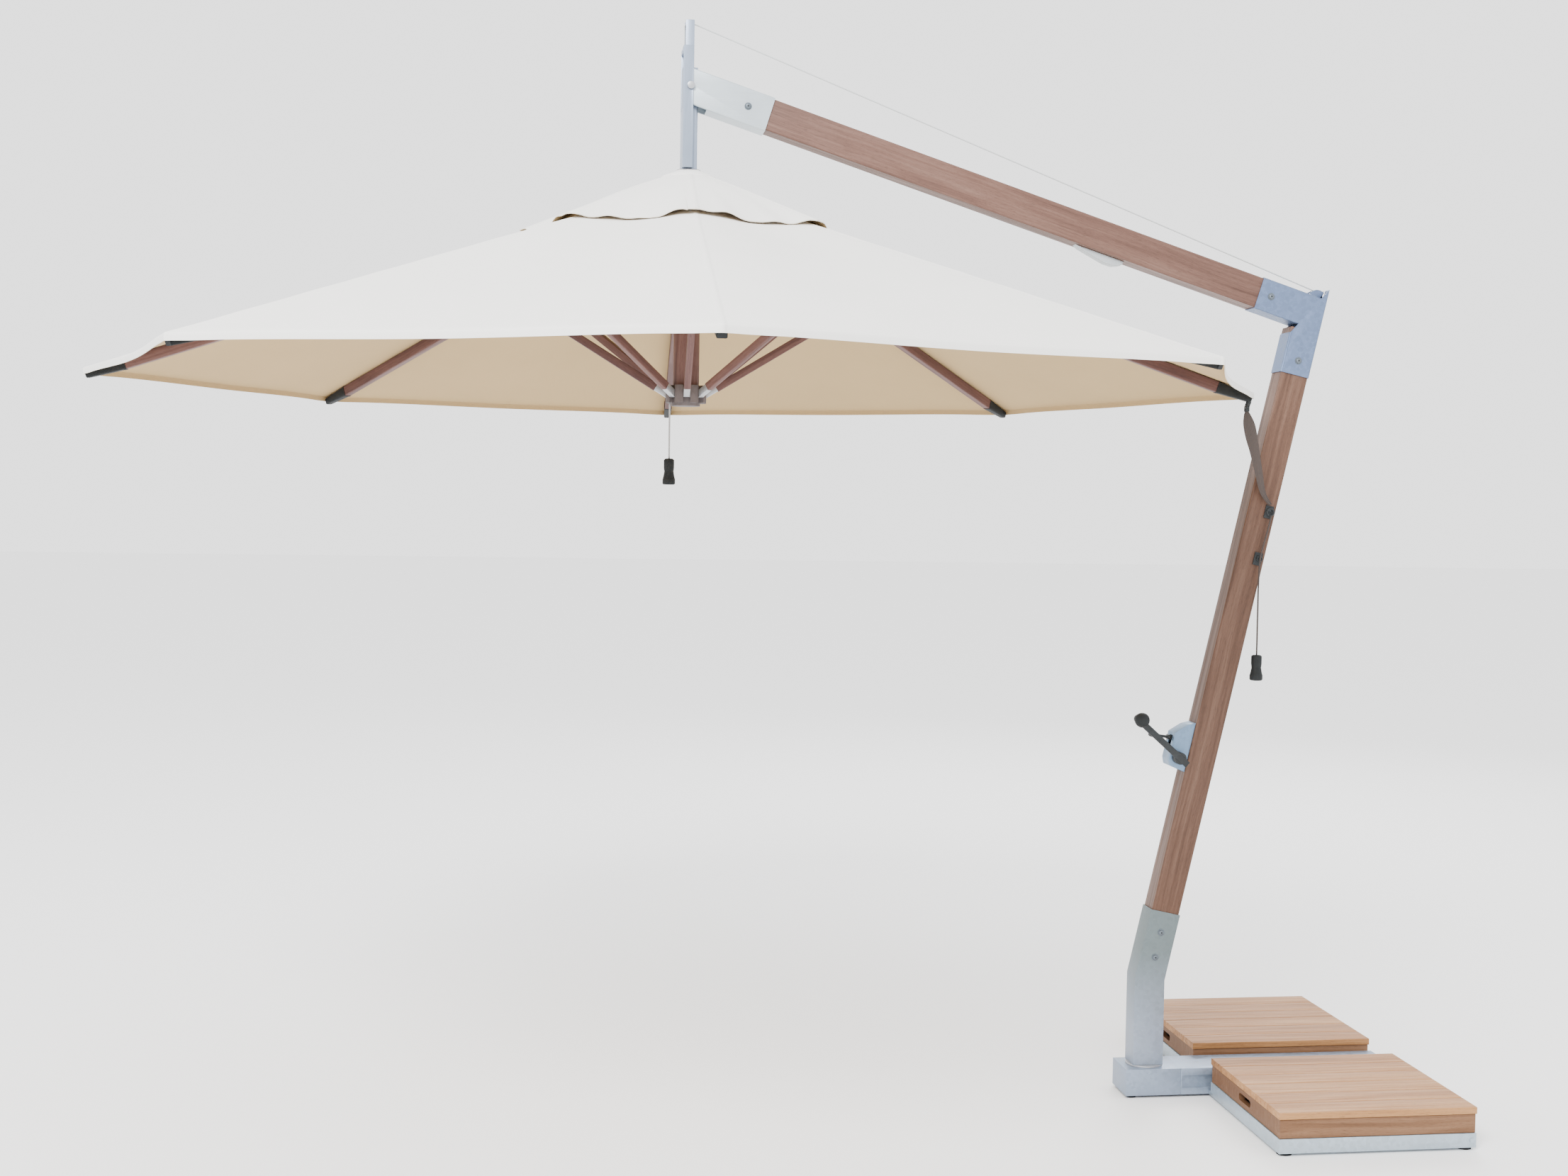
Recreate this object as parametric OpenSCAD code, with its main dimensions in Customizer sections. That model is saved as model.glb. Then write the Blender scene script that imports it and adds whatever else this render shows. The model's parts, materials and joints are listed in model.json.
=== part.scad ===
// Cantilever parasol: an eight-rib canopy hung from a leaning timber mast and boom.
// Origin: floor level under the swivel of the mast. +X runs to the ballast, the canopy hangs to -X.

/* [Canopy] */
// Radius from the king post to the tips of the ribs
canopy_r = 1750; // [1700:10:1800]
// Height of the rib tips above the floor
tip_z = 2186; // [2150:1:2220]
// Fall of the ribs from the crown to the tips, degrees
rib_fall = 18.5; // [17:0.5:20]
// Turn of the crown on the king post, degrees
crown_turn = -2.4; // [-4:0.2:4]
// Radius of the small vent canopy
vent_r = 500; // [460:5:520]
// Height of the edge of the vent canopy
vent_edge_z = 2666; // [2660:1:2680]
// Height of the peak of the vent canopy
vent_peak_z = 2828; // [2815:1:2835]
// Thickness of the cloth
cloth_t = 3; // [2:0.5:4]

/* [Ribs and struts] */
// Width of a rib
rib_w = 26; // [24:1:28]
// Height of a rib
rib_h = 34; // [30:1:36]
// Distance along a rib from the crown pin to its strut
strut_at = 620; // [600:5:640]
// Width of a strut
strut_w = 20; // [18:1:20]
// Height of a strut
strut_h = 24; // [20:1:24]
// Height of the lower strut pins when the canopy is open
runner_z = 2165; // [2155:1:2175]

/* [Mast and boom] */
// Lean of the mast from the vertical, degrees
mast_lean = 12.6; // [12:0.1:13]
// Length of the mast line from the bend in the socket to the elbow
mast_len = 2151; // [2120:1:2180]
// Fall of the boom from the tilt pin to the elbow, degrees
boom_fall = 17.35; // [17:0.05:17.7]
// Length of the boom line from the elbow to the tilt pin
boom_len = 2041; // [2020:1:2060]
// Width of the mast and the boom across the frame
timber_w = 75; // [72:1:78]
// Depth of the mast timber in the plane of the frame
mast_d = 90; // [86:1:94]
// Depth of the boom timber in the plane of the frame
boom_d = 95; // [91:1:98]

/* [Base] */
// Height of the underside of the base steelwork on its feet
foot_h = 8; // [6:1:10]
// Width of the base beam
beam_w = 135; // [130:1:140]
// Height of the top of the base beam
beam_top = 91; // [88:1:94]
// Length of each ballast tray
tray_l = 599; // [580:1:620]
// Width of each ballast tray
tray_w = 538; // [520:1:550]
// Height of the rim of the trays
tray_top = 50; // [48:1:52]
// Height of the top of the timber covers
cover_top = 126; // [122:1:130]

/* [Hidden] */
$fn = 48;

// Colours
galvanised = [0.66, 0.72, 0.80];
dark_grey = [0.30, 0.32, 0.33];
steel = [0.72, 0.74, 0.77];
pale_metal = [0.82, 0.86, 0.90];
timber = [0.58, 0.42, 0.33];
cover_timber = [0.78, 0.58, 0.42];
stone = [0.62, 0.60, 0.57];
cloth = [0.93, 0.91, 0.86];
cord_grey = [0.72, 0.72, 0.70];
webbing = [0.30, 0.25, 0.22];

// Mast and boom lines: the bend in the socket, the elbow and the tilt pin
bend_z = 370;
elbow_x = mast_len * sin(mast_lean);
elbow_z = bend_z + mast_len * cos(mast_lean);
post_x = elbow_x - boom_len * cos(boom_fall);
pin_z = elbow_z + boom_len * sin(boom_fall);
sleeve_wall = 3;
sleeve_w = timber_w + 2 * sleeve_wall;
socket_w = 80;
socket_d = 96;
timber_gap = 60;
mitre = (90 - mast_lean - boom_fall) / 2;

// Crown, ribs and struts
crown_r = 60;
crown_z = tip_z + (canopy_r - crown_r) * tan(rib_fall);
rib_len = (canopy_r - crown_r) / cos(rib_fall);
strut_drop = 36;
runner_r = 57;
joint_r = crown_r + strut_at * cos(rib_fall) - strut_drop * sin(rib_fall);
joint_z = crown_z - strut_at * sin(rib_fall) - strut_drop * cos(rib_fall);
strut_len = norm([joint_r - runner_r, joint_z - runner_z]);
strut_rise = atan((joint_z - runner_z) / (joint_r - runner_r));
cap_l = 115;
corner_r = canopy_r - 60;
cloth_lift = rib_h / 2 + 3.2;

// King post and runner
post_w = 46;
post_foot = 2200;
post_top = 3135;
head_top = 3276;
head_x = -2.5;
head_sheave_z = 3258;
head_sheave_r = 12;
tube_r = 19;
tube_top = 3050;
hub_r = 62;
hub_core = 43;
hub_foot = 2140;
hub_top = 2192;
sleeve_r = 39;

// Hoist line
line_r = 2;
elbow_sheave_r = 22;
elbow_sheave_at = [22, 46];
winch_at = [-78, 697];
drum_r = 16;
drum_w = 40;

// Base
tray_x = 192;
tray_y = 81;

// A square-cornered figure with rounded corners, centred
module rounded(w, d, r) {
    square([w - 2 * r, d], center = true);
    square([w, d - 2 * r], center = true);
    for (x = [-1, 1], y = [-1, 1])
        translate([x * (w / 2 - r), y * (d / 2 - r)])
            circle(r);
}

// A bar of rounded section along +Z
module bar(w, d, r, h) {
    linear_extrude(h)
        rounded(w, d, r);
}

// A round bar along Y, centred
module cross_bar(r, w) {
    rotate([90, 0, 0])
        cylinder(r = r, h = w, center = true);
}

// A plate in the XZ plane, centred across Y
module flat_plate(w) {
    translate([0, w / 2, 0])
        rotate([90, 0, 0])
            linear_extrude(w)
                children();
}

// Places a part on the mast line: origin at the bend, +Z up the mast
module on_mast() {
    translate([0, 0, bend_z])
        rotate([0, mast_lean, 0])
            children();
}

// Places a part on the boom line: origin at the elbow, -X up the boom
module on_boom() {
    translate([elbow_x, 0, elbow_z])
        rotate([0, boom_fall, 0])
            children();
}

// Places a part under the crown, turned to rib number k
module on_rib_plane(k) {
    translate([post_x, 0, 0])
        rotate([0, 0, crown_turn + 45 * (k - 1)])
            children();
}

// Places a part on a rib: origin at the crown pin, +X out along the rib
module on_rib(k) {
    on_rib_plane(k)
        translate([crown_r, 0, crown_z])
            rotate([0, rib_fall, 0])
                children();
}

// A foot pad with its stud
module foot(r) {
    cylinder(r = r, h = 4);
    cylinder(r = 6, h = foot_h);
}

// A tube of round section swept along points that lie in planes of constant Y or close to one
function unit(v) = v / norm(v);
function along(p, i) = unit(p[min(i + 1, len(p) - 1)] - p[max(i - 1, 0)]);
function ring(p, i, r, n) = let (t = along(p, i), a = unit(cross(t, [0.05, 1, 0])), b = cross(t, a))
    [for (j = [0:n - 1]) p[i] + r * (cos(360 * j / n) * a + sin(360 * j / n) * b)];
module sweep(p, r, n) {
    rings = len(p);
    points = [for (i = [0:rings - 1]) each ring(p, i, r, n)];
    sides = [for (i = [0:rings - 2], j = [0:n - 1])
        [i * n + j, (i + 1) * n + j, (i + 1) * n + (j + 1) % n, i * n + (j + 1) % n]];
    first = [for (j = [0:n - 1]) j];
    last = [for (j = [n - 1:-1:0]) (rings - 1) * n + j];
    polyhedron(points, concat(sides, [first, last]));
}

// Base beam: box section with an upper and a lower ledge to the right of its joint
module base_beam() {
    color(galvanised)
        difference() {
            translate([-79, -beam_w / 2, foot_h])
                cube([870, beam_w, beam_top - foot_h]);
            translate([-73, -beam_w / 2 + 6, foot_h - 1])
                cube([858, beam_w - 12, beam_top - foot_h - 5]);
            for (s = [-1, 1])
                translate([104, s * (beam_w / 2 + 1) - 4.5, foot_h + 22])
                    cube([700, 9, 38]);
            for (s = [-1, 1])
                translate([98, s * (beam_w / 2 + 1) - 2.5, foot_h - 1])
                    cube([2, 5, beam_top]);
        }
}

// One ballast tray, on the +Y side
module tray() {
    translate([tray_x, tray_y - 10, foot_h])
        difference() {
            cube([tray_l, tray_w + 10, tray_top - foot_h]);
            translate([4, 14, 4])
                cube([tray_l - 8, tray_w - 8, tray_top]);
            translate([-1, -1, 12])
                cube([tray_l + 2, 11, tray_top]);
        }
    for (x = [tray_x + tray_l - 14])
        translate([x, tray_y + tray_w, 30])
            rotate([-90, 0, 0])
                cylinder(r = 7, h = 4);
}

module ballast_trays() {
    color(galvanised) {
        tray();
        mirror([0, 1, 0])
            tray();
    }
}

// Levelling feet under the beam and the outer corners of the trays
module levelling_feet() {
    color(dark_grey) {
        foot(40);
        for (s = [-1, 1]) {
            translate([-56, s * 45, 0])
                foot(15);
            translate([760, s * 45, 0])
                foot(15);
            for (x = [26, tray_l - 26])
                translate([tray_x + x, s * (tray_y + tray_w - 26), 0])
                    foot(22);
        }
    }
}

// Two slabs in each tray, with room for fingers behind the hand slots
slab_t = 42;
module ballast_slabs() {
    color(stone)
        for (s = [-1, 1], n = [0, 1])
            translate([tray_x + 60, s > 0 ? tray_y + 26 : -tray_y - 26 - (tray_w - 52),
                foot_h + 4 + n * (slab_t + 1)])
                cube([tray_l - 86, tray_w - 52, slab_t]);
}

// One timber cover on the +Y side: a top board on four side boards
board_t = 20;
module cover() {
    translate([tray_x, tray_y, tray_top + 0.4])
        difference() {
            union() {
                translate([3, 3, 0])
                    cube([tray_l - 6, tray_w - 6, cover_top - board_t - tray_top]);
                translate([0, 0, cover_top - board_t - tray_top - 0.4])
                    cube([tray_l, tray_w, board_t]);
            }
            translate([21, 21, -1])
                cube([tray_l - 42, tray_w - 42, cover_top - board_t - tray_top + 0.6]);
            translate([-1, tray_w / 2 - 34, 16])
                cube([30, 68, 22]);
            for (y = [-34, 34])
                translate([-1, tray_w / 2 + y, 27])
                    rotate([0, 90, 0])
                        cylinder(r = 11, h = 30);
        }
}

module cover_far() {
    color(cover_timber)
        cover();
}

module cover_near() {
    color(cover_timber)
        mirror([0, 1, 0])
            cover();
}

// Fixed spigot on the beam that the socket of the mast turns on
spigot_r = 30;
spigot_top = 330;
module swivel_spigot() {
    color(steel) {
        translate([0, 0, beam_top])
            cylinder(r = 58, h = 6);
        translate([0, 0, beam_top + 6])
            difference() {
                cylinder(r = spigot_r, h = spigot_top - beam_top - 6);
                translate([0, 0, 10])
                    cylinder(r = spigot_r - 5, h = spigot_top);
            }
    }
}

// A point on the mast line: x across the mast in the plane of the frame, z up the mast
function mast_point(x, z) = [x * cos(mast_lean) + z * sin(mast_lean), 0,
    bend_z - x * sin(mast_lean) + z * cos(mast_lean)];

// Socket of the mast: upright below the bend, leaning above it, mitred at the bend
socket_foot = 97.5;
socket_len = 215;
module socket_profile(half) {
    mitre_drop = half * tan(mast_lean / 2);
    right = mast_point(half, socket_len);
    left = mast_point(-half, socket_len);
    polygon([[-half, socket_foot], [half, socket_foot], [half, bend_z - mitre_drop],
        [right[0], right[2]], [left[0], left[2]], [-half, bend_z + mitre_drop]]);
}

module mast_socket() {
    color(galvanised)
        difference() {
            flat_plate(socket_w)
                socket_profile(socket_d / 2);
            translate([0, 0, socket_foot - 1])
                cylinder(r = spigot_r + 0.08, h = spigot_top - socket_foot + 3);
            on_mast()
                translate([0, 0, 15])
                    bar(mast_d, socket_w - 5, 2, socket_len);
        }
}

// Timber of the mast with a channel for the hoist line
module mast_pole() {
    color(timber)
        on_mast()
            difference() {
                translate([0, 0, 15])
                    bar(mast_d, timber_w, 4, mast_len - timber_gap - 15);
                translate([-4, -8, winch_at[1] - 40])
                    cube([44, 16, mast_len]);
                translate([-60, -8, winch_at[1] - 40])
                    cube([80, 16, 60]);
            }
}

// Elbow: two sleeves mitred into one, open at the outer corner for the sheave
sleeve_up = 175;
sleeve_down = 205;
module elbow_shape(wall) {
    difference() {
        on_boom()
            translate([80, 0, 0])
                rotate([0, -90, 0])
                    bar(boom_d + 2 * wall, timber_w + 2 * wall, 3 + wall, sleeve_up + 80 + 3 - wall);
        translate([elbow_x, 0, elbow_z])
            rotate([0, mast_lean + mitre + 90, 0])
                translate([-200, -200, 0])
                    cube([400, 400, 400]);
    }
    difference() {
        on_mast()
            translate([0, 0, mast_len - sleeve_down - 3 + wall])
                bar(mast_d + 2 * wall, timber_w + 2 * wall, 3 + wall, sleeve_down + 80);
        translate([elbow_x, 0, elbow_z])
            rotate([0, mast_lean + mitre + 90, 0])
                translate([-200, -200, -400])
                    cube([400, 400, 400]);
    }
}

module elbow_bracket() {
    color(galvanised)
        difference() {
            union() {
                elbow_shape(sleeve_wall);
                on_mast()
                    translate([elbow_sheave_at[0], 0, mast_len + elbow_sheave_at[1]])
                        cross_bar(elbow_sheave_r + 7, 34);
            }
            elbow_shape(0);
            on_mast()
                translate([elbow_sheave_at[0], 0, mast_len + elbow_sheave_at[1]]) {
                    cross_bar(elbow_sheave_r + 5, 18);
                    cross_bar(4.04, 60);
                    translate([0, -9, -34])
                        cube([70, 18, 104]);
                    translate([-60, -9, 0])
                        cube([70, 18, 70]);
                }
        }
}

// Timber of the boom
bracket_l = 250;
module boom_pole() {
    color(timber)
        on_boom()
            translate([-timber_gap, 0, 0])
                rotate([0, -90, 0])
                    bar(boom_d, timber_w, 4, boom_len - bracket_l + 80 - timber_gap);
}

// Bracket at the end of the boom: a sleeve on the timber and two cheeks round the king post
web_gap = 66;
module boom_bracket() {
    color(pale_metal)
        on_boom()
            difference() {
                union() {
                    translate([-boom_len + bracket_l, 0, 0])
                        rotate([0, -90, 0])
                            bar(boom_d + 10, timber_w + 2 * sleeve_wall, 6, bracket_l + 80);
                }
                translate([-boom_len, 0, 0])
                    rotate([0, -boom_fall, 0])
                        translate([-post_w / 2 - 198, -100, -100])
                            cube([200, 200, 200]);
                translate([-boom_len + bracket_l + 1, 0, 0])
                    rotate([0, -90, 0])
                        bar(boom_d, timber_w, 4, 400);
                translate([-boom_len - 100, -timber_w / 2, -100])
                    cube([100 + web_gap, timber_w, 200]);
                translate([-boom_len, 0, 0])
                    cross_bar(6, 200);
            }
}

// Through bolts of the frame: socket, elbow and bracket, and the axle of the elbow sheave
module bolt(w) {
    cross_bar(5, w);
    for (s = [-1, 1])
        translate([0, s * (w / 2 + 3), 0])
            cross_bar(9, 6);
}

module frame_bolts() {
    color(steel) {
        on_mast() {
            for (s = [-1, 1], z = [70, 150])
                translate([0, s * (socket_w / 2 + 3), z])
                    cross_bar(8, 6);
            for (s = [-1, 1])
                translate([0, s * (sleeve_w / 2 + 2.5), mast_len - sleeve_down + 45])
                    cross_bar(8, 5);
            translate([elbow_sheave_at[0], 0, mast_len + elbow_sheave_at[1]])
                cross_bar(4, 34);
        }
        on_boom()
            for (s = [-1, 1], x = [-sleeve_up + 40, -boom_len + bracket_l - 70])
                translate([x, s * (sleeve_w / 2 + 2.5), 0])
                    cross_bar(8, 5);
    }
}

// A grooved sheave along Y, centred
module sheave(r, w, bore) {
    rotate([90, 0, 0])
        rotate_extrude()
            difference() {
                translate([bore, -w / 2])
                    square([r - bore + 2, w]);
                translate([r + line_r + 0.2, 0])
                    circle(line_r + 0.2);
                translate([r + line_r, -line_r - 0.2])
                    square([10, 2 * line_r + 0.4]);
            }
}

module elbow_sheave() {
    color(dark_grey)
        on_mast()
            translate([elbow_sheave_at[0], 0, mast_len + elbow_sheave_at[1]])
                sheave(elbow_sheave_r, 12, 4.06);
}

// Points of the hoist line, from the winch up the mast, over the boom and down the king post
sheave_at = mast_point(elbow_sheave_at[0], mast_len + elbow_sheave_at[1]);
head_at = [post_x + head_x, 0, head_sheave_z];
line_fall = atan((head_at[2] - sheave_at[2]) / (sheave_at[0] - head_at[0]));
wrap_r = elbow_sheave_r + line_r + 0.4;
head_wrap = head_sheave_r + line_r + 0.4;
line_run = 24;
hoist_points = concat(
    [mast_point(-58, winch_at[1] + 8), mast_point(-30, winch_at[1] + 10),
        mast_point(0, winch_at[1] + 16), mast_point(14, winch_at[1] + 60)],
    [for (n = [1:6]) mast_point(14 + 3 * n, winch_at[1] + 60 + n * 215)],
    [mast_point(36, mast_len - 60)],
    [for (a = [108:-9:line_fall]) sheave_at + wrap_r * [sin(a), 0, cos(a)]],
    [for (n = [0:line_run]) (sheave_at + wrap_r * [sin(line_fall), 0, cos(line_fall)]) * (1 - n / line_run)
        + (head_at + head_wrap * [sin(line_fall), 0, cos(line_fall)]) * n / line_run],
    [for (a = [0:-15:-90]) head_at + head_wrap * [sin(a), 0, cos(a)]],
    [[head_at[0] - head_wrap, 0, 3160], [head_at[0] - head_wrap, 0, tube_top + 0.5]]);

module hoist_line() {
    color(cord_grey)
        sweep(hoist_points, line_r, 8);
}

// Winch housing on the canopy side of the mast, a hollow tapered case
module winch_profile(t) {
    polygon([[-mast_d / 2, winch_at[1] - 40 + t], [-96 + t, winch_at[1] - 30 + t],
        [-104 + t, winch_at[1] - 10], [-104 + t, winch_at[1] + 74 - t],
        [-70, winch_at[1] + 106 - t], [-mast_d / 2, winch_at[1] + 118 - t]]);
}

module winch_housing() {
    color(galvanised)
        on_mast()
            difference() {
                flat_plate(64)
                    winch_profile(0);
                difference() {
                    flat_plate(56)
                        winch_profile(4);
                }
                translate([winch_at[0], 0, winch_at[1]])
                    cross_bar(8.08, 80);
                translate([-110, -14, winch_at[1] + 30])
                    cube([20, 28, 34]);
            }
}

// Drum of the winch with the shaft that carries the crank
module winch_drum() {
    color(steel)
        on_mast()
            translate([winch_at[0], 0, winch_at[1]]) {
                cross_bar(drum_r, drum_w);
                for (s = [-1, 1])
                    translate([0, s * (drum_w / 2 + 1.5), 0])
                        cross_bar(drum_r + 6, 3);
                translate([0, -8, 0])
                    cross_bar(8, 84);
            }
}

// Crank: boss and flat arm in front of the housing, with a fixed pin for the knob
crank_l = 190;
crank_rise = 41.4;
crank_y = -57;
module on_crank() {
    on_mast()
        translate([winch_at[0], 0, winch_at[1]])
            rotate([0, crank_rise - mast_lean, 0])
                children();
}

module winch_crank() {
    color(dark_grey)
        on_crank() {
            difference() {
                union() {
                    translate([0, crank_y + 8, 0])
                        cross_bar(19, 28);
                    translate([-crank_l, crank_y - 8, -10])
                        cube([crank_l + 30, 8, 20]);
                    translate([-crank_l, crank_y - 4, 0])
                        cross_bar(10, 8);
                }
                translate([0, -8, 0])
                    cross_bar(8, 84.4);
            }
            translate([-crank_l, crank_y - 38, 0])
                cross_bar(5, 60);
        }
}

// Pear-shaped grip that turns on the pin of the crank
module crank_knob() {
    color(dark_grey)
        on_crank()
            translate([-crank_l, crank_y - 8.5, 0])
                rotate([90, 0, 0])
                    rotate_extrude()
                        difference() {
                            union() {
                                translate([0, 0])
                                    square([14, 30]);
                                intersection() {
                                    translate([0, 40])
                                        circle(23);
                                    square([40, 80]);
                                }
                            }
                            translate([-10, -1])
                                square([15.06, 61.8]);
                        }
}

// Ratchet lever on the top of the housing
ratchet_at = [-96, 752];
module ratchet_lever() {
    color(dark_grey)
        on_mast()
            translate([ratchet_at[0] - 14, 0, ratchet_at[1]])
                rotate([0, -mast_lean + 8, 0]) {
                    difference() {
                        cross_bar(8, 20);
                        cross_bar(3.06, 30);
                    }
                    translate([-56, -7, -4])
                        cube([50, 14, 8]);
                    translate([-58, 0, 0])
                        cross_bar(7, 16);
                }
}

// Cleat, ring and guide eye on the front of the mast for the tilt strap and its cord
ring_at = [354, -46, 1847];
eye_at = [322, -46, 1700];
module eye(at, r, t) {
    translate(at)
        rotate([0, mast_lean, 0])
            rotate([90, 0, 0])
                rotate_extrude()
                    translate([r, 0])
                        circle(t);
}

module strap_ring() {
    color(dark_grey) {
        translate([0, -timber_w / 2 - 2, 0])
            for (at = [ring_at, eye_at])
                translate([at[0] - 3, 0, at[2] - 8])
                    rotate([0, mast_lean, 0])
                        cube([26, 4, 40], center = true);
        for (at = [ring_at, eye_at])
            translate([at[0] - 3, -timber_w / 2 - 6, at[2] - 2])
                rotate([0, mast_lean, 0])
                    cube([10, 6, 8], center = true);
        eye([ring_at[0], -timber_w / 2 - 9.5, ring_at[2] - 8], 11, 2.5);
        eye([eye_at[0], -timber_w / 2 - 9.5, eye_at[2] - 8], 8, 2);
    }
}

// Cord from the strap ring through the guide eye to its toggle
tilt_cord_r = 2.5;
toggle_top = 1392;
tilt_cord_y = -52.4;
tilt_cord_points = [for (p = [[354, 1828], [352, 1815], [346, 1790], [338, 1760], [331, 1735],
    [325, 1712], [322, 1695], [320, 1670], [319, 1640], [318, 1600], [318, 1550], [318, 1500],
    [318, 1450], [318, 1410], [318, toggle_top]]) [p[0], tilt_cord_y, p[1]]];

module tilt_cord() {
    color(webbing)
        sweep(tilt_cord_points, tilt_cord_r, 8);
}

// A pull handle with a flared foot, hung from its top at the origin
module handle(r, h) {
    rotate_extrude()
        polygon([[0, 0], [r * 0.55, 0], [r * 0.82, -4], [r * 0.82, -h * 0.35], [r * 0.74, -h * 0.5],
            [r * 0.9, -h * 0.72], [r, -h * 0.8], [r, -h + 3], [r - 3, -h], [0, -h]]);
}

module tilt_toggle() {
    color(dark_grey)
        translate([318, tilt_cord_y, toggle_top])
            handle(20, 80);
}

// Tapered cleat under the boom
module boom_cleat() {
    color(pale_metal)
        on_boom()
            translate([0, 0, -boom_d / 2])
                flat_plate(36)
                    polygon([[-776, 0], [-611, 0], [-616, -14], [-640, -24], [-668, -25], [-760, -8]]);
}

// King post: square tube from the runner up to the boom, with two plates that pass outside the
// boom bracket to the head
plate_x = -post_w / 2;
plate_w = 30;
plate_t = 4;
plate_y = sleeve_w / 2 + 0.7;
plate_foot = vent_peak_z + 9;
plate_top = 3196;
filler_top = 3010;
filler_w = plate_y - post_w / 2 + 3;
module king_post() {
    color(pale_metal)
        translate([post_x, 0, 0])
            difference() {
                union() {
                    translate([0, 0, post_foot])
                        bar(post_w, post_w, 5, post_top - post_foot);
                    for (s = [-1, 1]) {
                        translate([plate_x, s * (plate_y + plate_t / 2) - plate_t / 2, plate_foot])
                            cube([plate_w, plate_t, plate_top - plate_foot]);
                        translate([plate_x, s * (plate_y + post_w / 2 - 1) / 2 - filler_w / 2, plate_foot])
                            cube([plate_w, filler_w, filler_top - plate_foot]);
                    }
                }
                translate([0, 0, post_foot - 1])
                    bar(post_w - 6, post_w - 6, 2, post_top - post_foot + 2);
                for (s = [-1, 1])
                    translate([3, s * (post_w / 2) - 1.2, post_foot - 1])
                        cube([4, 2.4, plate_foot - post_foot]);
                translate([0, 0, pin_z])
                    cross_bar(6.06, 120);
            }
}

// Head of the king post: a block between its plates, two cheeks and the axle of the head sheave
module king_head() {
    color(pale_metal)
        translate([post_x + head_x, 0, 0]) {
            for (s = [-1, 1])
                translate([0, s * 20, 0]) {
                    translate([-13, -3, post_top])
                        cube([26, 6, head_sheave_z - post_top]);
                    translate([0, 0, head_sheave_z])
                        cross_bar(13, 6);
                    translate([-13, -3, head_sheave_z])
                        cube([26, 6, head_top - head_sheave_z]);
                }
            translate([0, 0, head_sheave_z])
                cross_bar(3, 34);
            translate([10, -17, post_top + 40])
                cube([3, 34, 30]);
            difference() {
                translate([plate_x - head_x, -plate_y, plate_top - 14])
                    cube([plate_w, 2 * plate_y, 14]);
                translate([-21, -6, plate_top - 15])
                    cube([11, 12, 16]);
            }
            for (s = [-1, 1])
                translate([0, s * 11.5, head_sheave_z])
                    cross_bar(6, 11);
        }
}

module head_sheave() {
    color(dark_grey)
        translate([post_x + head_x, 0, head_sheave_z])
            sheave(head_sheave_r, 11, 3.06);
}

// Pin that the king post tilts on, with its spacers and heads
module tilt_pin() {
    color(steel)
        translate([post_x, 0, pin_z]) {
            cross_bar(6, 2 * (plate_y + plate_t + 0.5));
            for (s = [-1, 1]) {
                translate([0, s * (plate_y + plate_t + 3.5), 0])
                    cross_bar(11, 6);
                translate([0, s * (post_w / 4 + timber_w / 4), 0])
                    cross_bar(11, timber_w / 2 - post_w / 2 - 0.8);
            }
        }
}

// Crown: a collar on the king post with eight slots, a pin across each, and the vent collar
crown_h = 20;
module crown_hub() {
    color(dark_grey) {
        translate([post_x, 0, 0])
            difference() {
                translate([0, 0, crown_z - crown_h])
                    cylinder(r = 80, h = 2 * crown_h);
                translate([0, 0, crown_z - crown_h - 1])
                    bar(post_w, post_w, 5, 4 * crown_h);
                for (k = [1:8])
                    rotate([0, 0, crown_turn + 45 * (k - 1)])
                        translate([46.5, -6.5, -1])
                            translate([0, 0, crown_z - crown_h])
                                cube([50, 13, 2 * crown_h + 2]);
            }
        translate([post_x, 0, 0])
            difference() {
                translate([0, 0, crown_z + crown_h])
                    cylinder(r = 36, h = vent_peak_z - crown_z - crown_h + 6);
                translate([0, 0, crown_z + crown_h - 1])
                    bar(post_w, post_w, 5, 100);
            }
        for (k = [1:8])
            on_rib_plane(k)
                translate([crown_r, 0, crown_z])
                    cross_bar(4, 13);
    }
}

// Runner: a hub with eight slots, open below and outwards for the feet of the struts
module runner_hub() {
    color(dark_grey)
        difference() {
            union() {
                translate([post_x, 0, hub_foot])
                    cylinder(r = hub_r, h = hub_top - hub_foot);
                translate([post_x, 0, hub_foot - 9])
                    cylinder(r = hub_core, h = 9);
            }
            for (k = [1:8])
                on_rib_plane(k)
                    translate([hub_core, -strut_w / 2 - 1, hub_foot - 1])
                        cube([40, strut_w + 2, hub_top - hub_foot + 2]);
            translate([post_x, 0, hub_foot])
                cylinder(r = tube_r, h = 200);
            translate([post_x, 0, post_foot - 14])
                cylinder(r = 33, h = 200);
        }
}

// Turned timber sleeve that slides on the outside of the king post
module runner_sleeve() {
    color(timber)
        translate([post_x, 0, 0])
            difference() {
                translate([0, 0, hub_top])
                    cylinder(r = sleeve_r, h = 268);
                translate([0, 0, hub_top - 1])
                    cylinder(r = 32, h = 300);
            }
}

// Guide tube that slides inside the king post, closed at the top where the line is tied
module guide_tube() {
    color(steel)
        translate([post_x, 0, hub_foot])
            difference() {
                cylinder(r = tube_r, h = tube_top - hub_foot);
                translate([0, 0, -1])
                    cylinder(r = tube_r - 2.5, h = tube_top - hub_foot - 5);
            }
}

// Cord and handle that pull the runner down
pull_a = crown_turn + 202.5;
pull_r = 53;
pull_x = post_x + pull_r * cos(pull_a);
pull_y = pull_r * sin(pull_a);
pull_end = 1972;
pull_points = [for (n = [0:12]) [pull_x, pull_y, hub_foot - n * (hub_foot - pull_end) / 12]];

module pull_cord() {
    color(cord_grey)
        sweep(pull_points, 2.5, 8);
}

module pull_handle() {
    color(dark_grey)
        translate([pull_x, pull_y, pull_end])
            handle(19, 78);
}

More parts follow.
